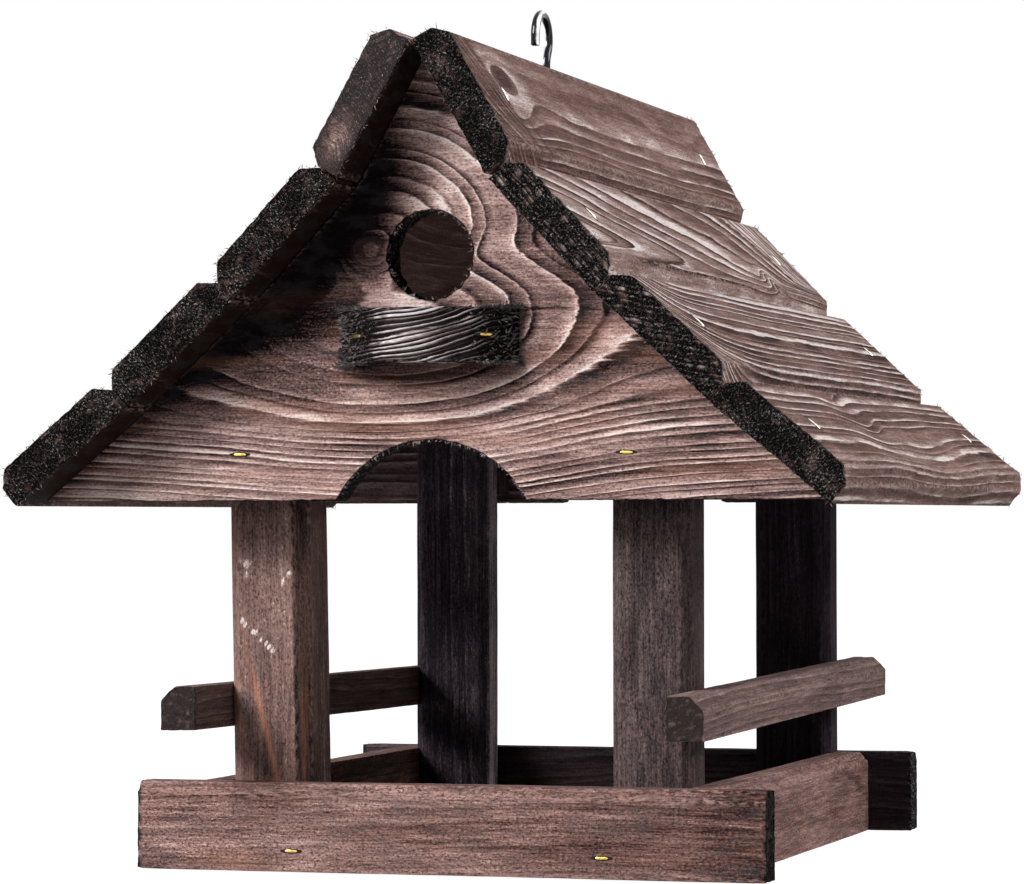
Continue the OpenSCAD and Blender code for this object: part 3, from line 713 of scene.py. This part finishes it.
def front_figure(x, z, w):
    """The front gable's rings and knot, with bare grit instead of rings on the left below the knot, and with
    the rings drowned above it in dark stain and a painted shadow of the roof. The foot has warm streaks."""
    here = np.stack([x, w, z], -1)
    from_knot = np.hypot(x + 20, 1.15 * (z - 193))
    gritty = stair(x, -62, 2) * stair(-x, 28, 2) * stair(z, 147, 2) * stair(-z, -172, 2)
    # The dark upper left: dark stain round the knot, and a painted shadow of the left roof slope
    stain_and_roof_shadow = stair(-x, 13, 3) * stair(z - 0.34 * x - 185 + 4 * wander(here, (12, 8, 8), 74), 0, 4)
    return {"rings": front_rings(x, z, w, from_knot), "knot": np.clip((6.5 - from_knot) / 4, 0, 0.4),
            "speck": 1 + 1.3 * gritty, "figure": (1 - 0.75 * gritty) * (1 - 0.70 * stain_and_roof_shadow),
            "warm": 0.22 * np.clip(wander(here, (26, 12, 5), 75), 0, 1) * stair(-z, -175, 5),
            "tone": front_tone(x, z, here, stain_and_roof_shadow) - 0.12 * gritty}


gable_brown = stained("front_gable_stain", (0.006, 0.003, 0.004), (0.170, 0.100, 0.090), (0.52, 0.350, 0.317),
                      (0.82, 0.68, 0.64), rings=0.78, fibres=0.32, blotch=0.35, specks=0.55, dashes=0.12,
                      relief=0.5, grey=0.20, seed=9.0)
gable("front_gable", -1, hole_radius, front_figure, gable_brown, seed=81)
back_brown = stained("back_gable_stain", (0.040, 0.022, 0.026), (0.140, 0.085, 0.090), (0.30, 0.21, 0.22),
                     (0.45, 0.35, 0.35), rings=0.7, fibres=0.3, seed=10.0)
gable("back_gable", 1, 0, lambda x, z, w: {"rings": grown(x, z, w, (60, 30), ring=3.7, seed=29)},
      back_brown, seed=91)


# Perch shelf. A slice of post stock with a sawn half-round front, stapled
# to the gable just below the hole, with fuzz left by the saw.
shelf_width, shelf_depth, shelf_height = 58.0, 16.0, 17.0
shelf_top = hole_z - hole_radius - 2.8
shelf_radius = (shelf_width ** 2 / 4 + shelf_depth ** 2) / (2 * shelf_depth)
shelf_turn = math.asin(shelf_width / 2 / shelf_radius)
shelf_middle = np.array([0, shelf_radius - shelf_depth - gable_front, 0])
shelf_angle = np.linspace(-shelf_turn, shelf_turn, 24)
shelf_section = np.stack([np.sin(shelf_angle), np.cos(shelf_angle) - math.cos(shelf_turn)], 1) * shelf_radius


def shelf_figure(u, v, w):
    """The grain runs along the shelf, so the curved cut crosses it: level lines in the middle that climb to
    the right, and more and more open end grain towards both ends. Only the two level arrises are rubbed."""
    here = np.stack([v, u, w], -1)
    climb = 2.2 * np.log1p(np.exp((v - 6) / 5))
    rings = (u - 0.05 * v - 0.12 * w - climb) / 1.45 + 0.45 * wander(here, (16, 4, 4), 66)
    outward = np.where(v < 0, -v - 10.5, v - 17) + 4 * wander(here, (3, 1.2, 1.2), 67)
    tone = 0.03 - 0.45 * stair(-v, 11, 2.5) - 0.42 * stair(v, 6, 4) + 0.1 * wander(here, (8, 4, 4), 68)
    return {"rings": rings, "fibre": here, "cut": np.clip(outward / 5, 0, 0.9), "tone": tone,
            "speck": np.full_like(u, 1.6), "edge": 0.4 * bell(np.abs(u), shelf_height / 2 - 0.6, 0.5)}


shelf_dark = stained("shelf_stain", (0.005, 0.003, 0.003), (0.065, 0.045, 0.043), (0.30, 0.25, 0.25),
                     (0.62, 0.57, 0.57), rings=1.3, fibres=0.12, blotch=0.10, dashes=0.04, specks=0.1,
                     grain=0.15, late_from=0.50, end_pale=(0.34, 0.29, 0.28), end_specks=0.17, seed=11.0,
                     relief=0.16)
board("perch_shelf", shelf_section[::-1], shelf_height, (0, -gable_front, shelf_top - shelf_height / 2),
      (0, 0, 1), (1, 0, 0), (0, -1, 0), shelf_dark, "shelf_wood", shelf_figure, step=0.6, seed=71, torn=0.3)


# Roof. Four planed slats a side from the ridge down, both outer arrises
# chamfered, each stapled to the gables and set flatter than the one above.
roof_end = gable_front + 19.5
slat_section = [(0, 0), (slat_width, 0), (slat_width, seat), (slat_width - slat_chamfer, plank),
                (slat_chamfer, plank), (0, seat)]


def on_side(side, p):
    """A place or a direction in the gable's plane, on the left (-1) or the right (1) side of the roof."""
    return np.array([side * p[0], 0, p[1]])


def right_slat_1(u, v, w):
    """Rings that spread towards the ridge, round a small knot near the front, between two dark streaks."""
    from_knot = np.hypot(0.8 * (u + 114.5), 1.65 * (v - 17))
    bulge = 6 * spot(u, v, -116, 27, 15, 9) - 3.5 * spot(u, v, -84, 22, 22, 10)
    level = np.interp(v - bulge, (0, 11, 26, 32, 37, 41.5, 48), (0.2, 1, 2, 3, 4, 5, 6.6))
    streak_u = -138 + 0.54 * v
    count = level + 2.4 * bell(from_knot, 0, 9) + 0.22 * np.maximum(streak_u - u, 0)
    count = count - 0.9 * spot(u, v, 90, 15, 38, 6)
    streaks = bell(u - streak_u, 0, 2.2) * stair(v, 6, 2) + bell(u - streak_u - 11, 0, 1.8) * stair(v, 32, 1)
    tone = 0.22 * bell(from_knot, 14, 5) * stair(u, streak_u, 1.5) - 0.16 * stair(streak_u - u, 0, 2)
    return count, np.clip((9.0 - from_knot) / 2.5, 0, 1) + 0.75 * streaks, tone - 0.10 * stair(-v, -6, 1)


def right_slat_2(u, v, w):
    """Long pale flames that leave the upper edge and run down the board to the back."""
    slant = 1 - stair(v, 39, 1.6)
    q = v - (0.2 * u + 3 * np.exp((u - 60) / 25)) * slant
    count = q / 11 + 0.0012 * np.maximum(q - 20, 0) ** 2 + 2.5 * spot(u, v, 77, 37, 9, 5.63)
    return count, 0 * u, 0.06 - 0.16 * bell(v, 42.5, 3)


def right_slat_3(u, v, w):
    """Rings that run down along the front end, close together, and turn one after another to run level."""
    return (v + 21 * np.exp(-(u + 149) / 17)) / 3.2, 0 * u, 0.04 + 0.08 * bell(v, 12, 8)


def right_slat_4(u, v, w):
    """Level rings with two long waves and a swirl near the upper edge, and a broad pale band below."""
    count = v - 5.5 * spot(u, v, -42, 24, 22, 12) - 7 * spot(u, v, 15, 35, 60, 12)
    return count / 4 - 1.2 * spot(u, v, -49, 5, 12, 6), 0 * u, 0.10 * bell(v, 38, 8)


def plain_slat(k):
    """Rings round a pith under the slat, for the left side."""
    def rings(u, v, w):
        bows = [(-40 + 30 * k, 110, 14, 12)]
        count = grown(u, v, w, (10 + 7 * k, -18 - 3 * k), bows=bows, ring=3.2, seed=101 + k)
        return count - 0.20 * (plank - w), 0 * u, 0 * u
    return rings


def slat_figure(k, rings, strength):
    """A slat's figure, counted on its face and carried on round its edges, with painted shade on the
    underside, slight between the gables and nearly black outside them, and faint rings there. The strength is
    that of the rings on the face."""
    def figure(u, v, w):
        here = np.stack([u, v, w], -1)
        count, knot, tone = rings(u, v, w)
        count = count + 0.25 * wander(here, (60, 14, 14), 201 + k) + 0.06 * wander(here, (18, 5, 5), 211 + k)
        below = w < 0.8
        outside = np.abs(u) > gable_front - gable_thick / 2
        # Painted shade on the underside: a little between the gables, nearly black under the overhangs
        tone = tone + 0.04 + 0.05 * wander(here, (40, 10, 10), 221 + k) - below * np.where(outside, 0.6, 0.06)
        return {"rings": count + 0.20 * (plank - w), "knot": knot, "tone": tone,
                "figure": np.where(below, 0.3, strength(v))}
    return figure


roof_shades = ((0.014, 0.007, 0.006), (0.130, 0.070, 0.059), (0.34, 0.235, 0.212), (0.74, 0.65, 0.63))
weathered = {"rings": 0.80, "fibres": 0.26, "blotch": 0.30, "specks": 0.6, "dashes": 0.22, "grey": 0.20,
             "seed": 12.0}
roof_brown = stained("roof_stain", *roof_shades, late_from=0.55, knot_colour=(0.030, 0.014, 0.013),
                     **weathered)
flame_brown = stained("flamed_slat_stain", *roof_shades, late_from=0.28, **weathered)
left_end_grey = stained("left_ridge_slat_stain", *roof_shades, seed=13.0, end_dark=(0.035, 0.027, 0.028),
                        end_pale=(0.60, 0.55, 0.55), end_lines=0.9)
slats = {
    "left_roof_board_1": (plain_slat(0), lambda v: 0.6, left_end_grey),
    "left_roof_board_2": (plain_slat(1), lambda v: 0.6, roof_brown),
    "left_roof_board_3": (plain_slat(2), lambda v: 0.6, roof_brown),
    "left_roof_board_4": (plain_slat(3), lambda v: 0.6, roof_brown),
    "right_roof_board_1": (right_slat_1, lambda v: 0.70 - 0.3 * stair(-v, -24, 2), roof_brown),
    "right_roof_board_2": (right_slat_2, lambda v: 1.45, flame_brown),
    "right_roof_board_3": (right_slat_3, lambda v: 1.5, roof_brown),
    "right_roof_board_4": (right_slat_4, lambda v: 1.0, roof_brown)}
# The rings that show on a cut end, and the share of one that the stain has left bare
end_rings = {"right_roof_board_2": lambda v, w: w / 1.5,
             "right_roof_board_3": lambda v, w: (0.8 * w - 0.5 * v) / 1.6,
             "left_roof_board_1": lambda v, w: (v + 0.6 * w) / 1.1 + 3.5 * spot(v, w, 36, 5, 6.67, 4)}
bare_ends = {"left_roof_board_1": lambda v, w: 0.9 * spot(v, w, 37, 6.5, 7.2, 3.6)}
upper_edge = 0.3
for k, (name, (rings, strength, look)) in enumerate(slats.items()):
    side = -1 if k < 4 else 1
    i = k % 4
    # Below the first slat the upper edge is a little further up, so that no light shows between two slats
    section = [(v - upper_edge if v == 0 and i else v, w) for v, w in slat_section]
    number = (k + 4) % 8
    board(name, section, 2 * roof_end, on_side(side, under[i]), (0, 1, 0), on_side(side, slope_down[i]),
          on_side(side, slope_out[i]), look, "roof_wood", slat_figure(number, rings, strength),
          seed=111 + number, tight=0.9, end_rings=end_rings.get(name, lambda v, w: 0 * v + 0.52),
          bare=bare_ends.get(name))


# Ridge beam. A batten of plain wood with a peaked top, fixed under the ridge
# between the gables, where the hook's screw bites into it.
beam_width, beam_height = 16.0, 26.0
beam_side = beam_height - beam_width / 2 * math.tan(pitches[0])
beam_section = [(-beam_width / 2, 0), (beam_width / 2, 0), (beam_width / 2, beam_side), (0, beam_height),
                (-beam_width / 2, beam_side)]
board("ridge_beam", beam_section, 2 * (gable_front - gable_thick), (0, 0, peak[1] - beam_height), (0, 1, 0),
      (1, 0, 0), (0, 0, 1), floor_brown, "hidden_wood",
      lambda u, v, w: grown(u, v, w, (8, -20), ring=3.0, seed=43), step=2.0, seed=131)


# Staples. Lacquered steel wire bent square, driven a little below the face, so
# each crown lies in a short dark slot that its ends have torn.
crown, wire_wide, wire_thick = 6.0, 1.2, 1.0


def crowns(name, places, material, lift):
    """All staples of a node: the crown is an ellipse carried along a bow that dips at both ends, in a dark
    dish, an ellipse in plan whose rim lies under the face. A place is where the crown's middle is, with its
    direction and the direction out of the wood, and the lift is how far the crown stands out."""
    t, turn = np.linspace(-1, 1, 15)[:, None], np.linspace(0, 2 * math.pi, 12, endpoint=False)[None, :]
    taper = 1 - 0.25 * t ** 6
    rise = lift - 0.55 * np.abs(t) ** 4 - wire_thick / 2
    wire = (crown / 2 * t + 0 * turn, wire_wide / 2 * taper * np.cos(turn),
            rise + wire_thick / 2 * taper * np.sin(turn))
    dish_out = np.array([0.05, 0.4, 0.75, 0.95, 1.05, 1.0])[:, None]
    deep = np.array([-0.10, -0.02, 0.04, -0.02, -0.35, -0.9])[:, None]
    dish = (0.63 * crown * dish_out * np.cos(turn), 0.74 * dish_out * np.sin(turn), deep + 0 * turn)
    vertices = []
    faces = []
    hollow = []
    for at, run, out in places:
        for in_dish, (a, b, c) in ((0.0, wire), (1.0, dish)):
            rows = at + np.stack([a, b, c], -1) @ np.array([run, np.cross(out, run), out], float)
            points = with_ends(rows)
            faces += skin_faces(points, *rows.shape[:2], base=sum(len(v) for v in vertices))
            vertices.append(points)
            hollow.append(np.full(len(points), in_dish))
    return fitted(name, np.concatenate(vertices), faces, material, "staple_brass",
                  hollow=np.concatenate(hollow))


def wire_finish(name, colour, scuffed, gloss, slotted=True):
    """Wire with scuffs: the colour turns to the scuffed one in fine noise, which also roughens it. On a
    slotted piece the surface is nearly black and rough where the hollow field is 1, in the dish round the
    crown."""
    made, t = blank_material(name)
    worn = shader(t, "TexNoise", Vector=shader(t, "TexCoord").outputs["Object"], Scale=900.0, Detail=3.0,
                  Roughness=0.6).outputs[0]
    fleck = shade_ramp(t, worn, (0.42, 0.0), (0.62, 1.0))
    shade = shader(t, "Mix", {"data_type": "RGBA"}, _0=fleck, _6=(*colour, 1), _7=(*scuffed, 1)).outputs[2]
    rough = shader(t, "Math", {"operation": "MULTIPLY_ADD"}, _0=fleck, _1=0.25, _2=gloss).outputs[0]
    metallic = 1.0
    if slotted:
        hollow = shader(t, "Attribute", {"attribute_name": "hollow"}).outputs["Fac"]
        # The dish round each crown is coloured nearly black
        shade = shader(t, "Mix", {"data_type": "RGBA"}, _0=hollow, _6=shade,
                       _7=(0.006, 0.004, 0.004, 1)).outputs[2]
        rough = shader(t, "Math", {"operation": "ADD", "use_clamp": True}, _0=rough, _1=hollow).outputs[0]
        metallic = shader(t, "Math", {"operation": "SUBTRACT"}, _0=1.0, _1=hollow).outputs[0]
    bumped = shader(t, "Bump", Strength=0.3, Distance=0.0001, Height=worn)
    surface = shader(t, "BsdfPrincipled", Base_Color=shade, Roughness=rough, Metallic=metallic,
                     Normal=bumped.outputs[0])
    shader(t, "OutputMaterial", Surface=surface.outputs[0])
    return made


gold = wire_finish("gold_lacquered_wire", (0.74, 0.50, 0.12), (0.36, 0.22, 0.06), 0.28)
silver = wire_finish("bright_wire", (0.86, 0.83, 0.74), (0.45, 0.40, 0.32), 0.25)
rim_staple_x, rim_staple_z, gable_staple_z = 50.6, 6.7, gable_z + 14.5
crowns("rim_staples", [((x, end * tray_depth / 2, rim_staple_z), (1, 0, 0), (0, end, 0)) for end in (-1, 1)
                       for x in (-rim_staple_x, rim_staple_x)], gold, lift=0.15)
crowns("gable_staples", [((x, end * gable_front, gable_staple_z), (1, 0, 0), (0, end, 0)) for end in (-1, 1)
                         for x in (-post_x, post_x)], gold, lift=0.15)
shelf_spots = []
for way in (-1, 1):
    sine = way * 0.36 * shelf_width / shelf_radius
    cosine = math.sqrt(1 - sine ** 2)
    out = np.array([sine, -cosine, 0])
    at = shelf_middle + shelf_radius * out + (0, 0, shelf_top - shelf_height / 2)
    shelf_spots.append((at, (cosine, sine, 0), out))
crowns("shelf_staples", shelf_spots, gold, lift=0.15)
roof_spots = []
for side in (-1, 1):
    for i in range(4):
        at = on_side(side, under[i] + plank * slope_out[i] + slat_width / 2 * slope_down[i])
        for y in (-gable_front + gable_thick / 2, gable_front - gable_thick / 2):
            roof_spots.append((at + (0, y, 0), on_side(side, slope_down[i]), on_side(side, slope_out[i])))
crowns("roof_staples", roof_spots, silver, lift=0.35)


# Hook. Bright plated wire bent to a round hook over a reverse bend, with its
# straight end screwed through the ridge joint into the beam.
wire_radius, bend, hook_z, hook_y, hook_lean, hook_tip = 1.5, 7.8, ridge_z + 16, -3, 4.68, 3.5
hook_turn = math.acos((bend + hook_lean) / (2 * bend))
rise_over = 2 * bend * math.sin(hook_turn)
shank_low = under[0][1] - 6
shank = np.linspace(shank_low - hook_z, -rise_over, 12)
first_bend = np.linspace(math.pi, math.pi - hook_turn, 9)[1:]
round_bend = np.linspace(-hook_turn, math.pi, 48)[1:]
tip_y = -hook_lean - bend
path = np.concatenate([
    np.stack([0 * shank, shank], 1),
    np.stack([bend + bend * np.cos(first_bend), -rise_over + bend * np.sin(first_bend)], 1),
    np.stack([-hook_lean + bend * np.cos(round_bend), bend * np.sin(round_bend)], 1),
    [(tip_y, -0.5 * hook_tip), (tip_y, -hook_tip + 0.4), (tip_y, -hook_tip)]])
heading = np.gradient(path, axis=0)
heading /= np.linalg.norm(heading, axis=1)[:, None]
round_wire = np.linspace(0, 2 * math.pi, 20, endpoint=False)[None, :]
thick = wire_radius * np.concatenate([np.ones(len(path) - 1), [0.72]])[:, None]
hook_rows = np.stack([thick * np.sin(round_wire),
                      path[:, :1] + hook_y + thick * np.cos(round_wire) * heading[:, 1:],
                      hook_z + path[:, 1:] - thick * np.cos(round_wire) * heading[:, :1]], -1)
# The plating's bright stripe and dark sides are a painted reflection, carried by the band field, with fine
# smears
plating, plating_tree = blank_material("plating_with_painted_reflection")
band = shader(plating_tree, "Attribute", {"attribute_name": "band"}).outputs["Fac"]
smear_and_reflection = shader(plating_tree, "TexNoise", Vector=shader(plating_tree, "TexCoord").outputs["Object"],
               Scale=260.0, Detail=2.0).outputs[0]
smear_and_reflection = shader(plating_tree, "Math", {"operation": "MULTIPLY_ADD"}, _0=smear_and_reflection, _1=0.5, _2=band).outputs[0]
plating_and_reflection_colour = shade_ramp(plating_tree, smear_and_reflection, (0.78, (0.025, 0.025, 0.028)), (1.0, (0.93, 0.93, 0.94)))
gloss = shader(plating_tree, "Math", {"operation": "MULTIPLY_ADD"}, _0=smear_and_reflection, _1=0.15, _2=0.05).outputs[0]
plated = shader(plating_tree, "BsdfPrincipled", Base_Color=plating_and_reflection_colour, Roughness=gloss, Metallic=1.0)
shader(plating_tree, "OutputMaterial", Surface=plated.outputs[0])
painted_reflection = 0.4 + 0.4 * np.cos(2 * (round_wire - 0.9)) + 0 * thick
closed_skin("hanging_hook", hook_rows, plating, "hook_steel", band=painted_reflection)


# Brads. Thin steel nails, punched just below the face: gold ones in the side
# rims, and dark ones in the rails and, out of sight, in the posts and cleats.
gold_nail = wire_finish("gold_nail", (0.74, 0.50, 0.12), (0.36, 0.22, 0.06), 0.28, slotted=False)
dark_nail = wire_finish("punched_nail", (0.10, 0.09, 0.085), (0.03, 0.025, 0.025), 0.5, slotted=False)
for name, look in (("rim_brads", gold_nail), ("rail_brads", dark_nail), ("cleat_brads", dark_nail)):
    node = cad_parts[name]
    node.data.materials.clear()
    node.data.materials.append(look)


# Torn fibres. The saw leaves short pale splinters along the cut edges of the
# roof's ends, of the hole and arch, and round the shelf.
def needles(name, feet, ways, lengths, material, slot, seed, thickness):
    """Three-sided splinters of seven points each, from the foot to a tip. They are thinner halfway and bent a
    little, and none leaves the box of the house."""
    rng = np.random.default_rng(seed)
    ways = ways / np.linalg.norm(ways, axis=1)[:, None]
    side = np.cross(ways, rng.normal(size=ways.shape))
    side /= np.linalg.norm(side, axis=1)[:, None]
    other = np.cross(ways, side)
    thick = rng.uniform(0.4, 1.0, len(feet))[:, None, None] * thickness
    turn = np.array([0, 2.1, 4.2])[None, :, None]
    ring = thick * (np.cos(turn) * side[:, None] + np.sin(turn) * other[:, None])
    reach = lengths[:, None]
    sag = rng.normal(size=ways.shape) * 0.18 * reach
    waist = (feet + 0.5 * reach * ways + 0.35 * sag)[:, None] + 0.7 * ring
    tip = (feet + reach * ways + sag)[:, None]
    points = np.concatenate([feet[:, None] + ring, waist, tip], 1).reshape(-1, 3)
    points = np.clip(points, 1000 * np.array(cad_box[0]), 1000 * np.array(cad_box[1]))
    first = 7 * np.arange(len(feet))[:, None, None]
    threes = first + np.array([(0, 2, 1), (3, 4, 6), (4, 5, 6), (5, 3, 6)])
    fours = first + np.array([(0, 1, 4, 3), (1, 2, 5, 4), (2, 0, 3, 5)])
    faces = threes.reshape(-1, 3).tolist() + fours.reshape(-1, 4).tolist()
    return fitted(name, points, faces, material, slot, smooth=False)


def torn_fibre(name, soaked, dry):
    """Fibres between two shades, soaked and dry, by fine noise."""
    made, t = blank_material(name)
    fine = shader(t, "TexNoise", Vector=shader(t, "TexCoord").outputs["Object"], Scale=350.0, Detail=2.0)
    shades = shade_ramp(t, fine.outputs[0], (0.40, soaked), (0.62, dry))
    surface = shader(t, "BsdfPrincipled", Base_Color=shades, Roughness=0.7)
    shader(t, "OutputMaterial", Surface=surface.outputs[0])
    return made


splinter = torn_fibre("torn_fibre", (0.020, 0.013, 0.012), (0.24, 0.18, 0.165))
chance = np.random.default_rng(5)


def slat_end_fibres(side, i, end, count=70):
    """Feet at random places round the end of one slat, and ways that point away from its middle."""
    rim = spaced(np.array(slat_section), 0.9)
    pick = rim[chance.integers(0, len(rim), count)] + chance.normal(scale=0.25, size=(count, 2))
    v, w = np.clip(pick, 0.2, (slat_width - 0.2, plank - 0.2)).T[..., None]
    down, out = on_side(side, slope_down[i]), on_side(side, slope_out[i])
    inset = chance.uniform(0.3, 0.8, (count, 1))
    feet = on_side(side, under[i]) + v * down + w * out + (0, end, 0) * (roof_end - inset)
    spread = (v - slat_width / 2) / slat_width * down + (w - plank / 2) / plank * 0.6 * out
    return feet, 0.6 * spread + chance.normal(scale=0.3, size=(count, 3)) * (1, 0.1, 1) + (0, 0.12 * end, 0)


for side, word in ((-1, "left"), (1, "right")):
    ends = [slat_end_fibres(side, i, end) for i in range(4) for end in (-1, 1)]
    feet, ways = (np.concatenate(part) for part in zip(*ends))
    needles("%s_roof_splinters" % word, feet, ways, chance.uniform(0.6, 1.7, len(feet)), splinter,
            "roof_wood", seed=6 + side, thickness=0.2)


def gable_fibres(hole_count=90, arch_count=110):
    """Feet round the front edges of the hole and of the arch, and ways that point to the middle of each."""
    turn = chance.uniform(0, 2 * math.pi, hole_count)
    ring = np.stack([np.cos(turn), 0 * turn, np.sin(turn)], 1)
    feet = np.array([0, 0.4 - gable_front, hole_z]) + ring * hole_radius
    ways = -ring + chance.normal(scale=0.5, size=ring.shape) * (1, 0.2, 1)
    run = gable_outline[np.abs(gable_outline[:, 0]) < arch_half + 1]
    run = run[run[:, 1] < gable_z + arch_rise + 1]
    low = run[chance.integers(0, len(run), arch_count)]
    low = low + chance.normal(scale=0.8, size=(arch_count, 2)) * (1, 0)
    low[:, 1] = np.minimum(low[:, 1], gable_z + arch_rise)
    aim = low - arch_middle
    aim /= np.linalg.norm(aim, axis=1)[:, None]
    low = arch_middle + aim * arch_radius
    inside = np.abs(low[:, 0]) < arch_half
    aim, low = aim[inside], low[inside]
    arch_feet = np.stack([low[:, 0], np.full(len(low), 0.4 - gable_front), low[:, 1]], 1)
    arch_ways = np.stack([-aim[:, 0], 0 * aim[:, 0], -aim[:, 1]], 1)
    arch_ways += chance.normal(scale=0.5, size=arch_ways.shape) * (1, 0.2, 1)
    return np.concatenate([feet, arch_feet]), np.concatenate([ways, arch_ways])


feet, ways = gable_fibres()
needles("gable_splinters", feet, ways, chance.uniform(0.6, 1.6, len(feet)), splinter, "gable_wood",
        seed=9, thickness=0.22)


def shelf_fuzz(count=900):
    """Feet over the shelf's curved front, most at its ends and along its two level edges, and ways that point
    out and away from its middle. The lengths grow towards the ends by the third power of the turn."""
    turn = np.sign(chance.normal(size=count) - 0.3) * shelf_turn * chance.uniform(0.25, 1.0, count) ** 0.5
    ring = np.stack([np.sin(turn), -np.cos(turn), 0 * turn], 1)
    upper, lower = shelf_top - 0.3, shelf_top - shelf_height + 0.3
    z = chance.choice([upper, lower, 0], count, p=[0.40, 0.28, 0.32])
    z = np.where(z == 0, shelf_top - chance.uniform(0.3, shelf_height - 0.3, count), z)
    feet = shelf_middle + ring * (shelf_radius - 0.3) + z[:, None] * (0, 0, 1)
    up_or_down = np.where(z > upper - 0.1, 0.7, np.where(z < lower + 0.1, -0.7, 0.0))
    away = np.stack([np.sin(turn) * 0.9, 0 * turn, up_or_down], 1)
    ways = ring * 0.45 + away + chance.normal(scale=0.4, size=feet.shape)
    return feet, ways, chance.uniform(0.5, 1.0, count) * (1.2 + 2.2 * (np.abs(turn) / shelf_turn) ** 3)


feet, ways, reach = shelf_fuzz()
soaked_fibre = torn_fibre("soaked_fibre", (0.004, 0.003, 0.003), (0.068, 0.051, 0.047))
needles("shelf_splinters", feet, ways, reach, soaked_fibre, "shelf_wood", seed=10, thickness=0.44)
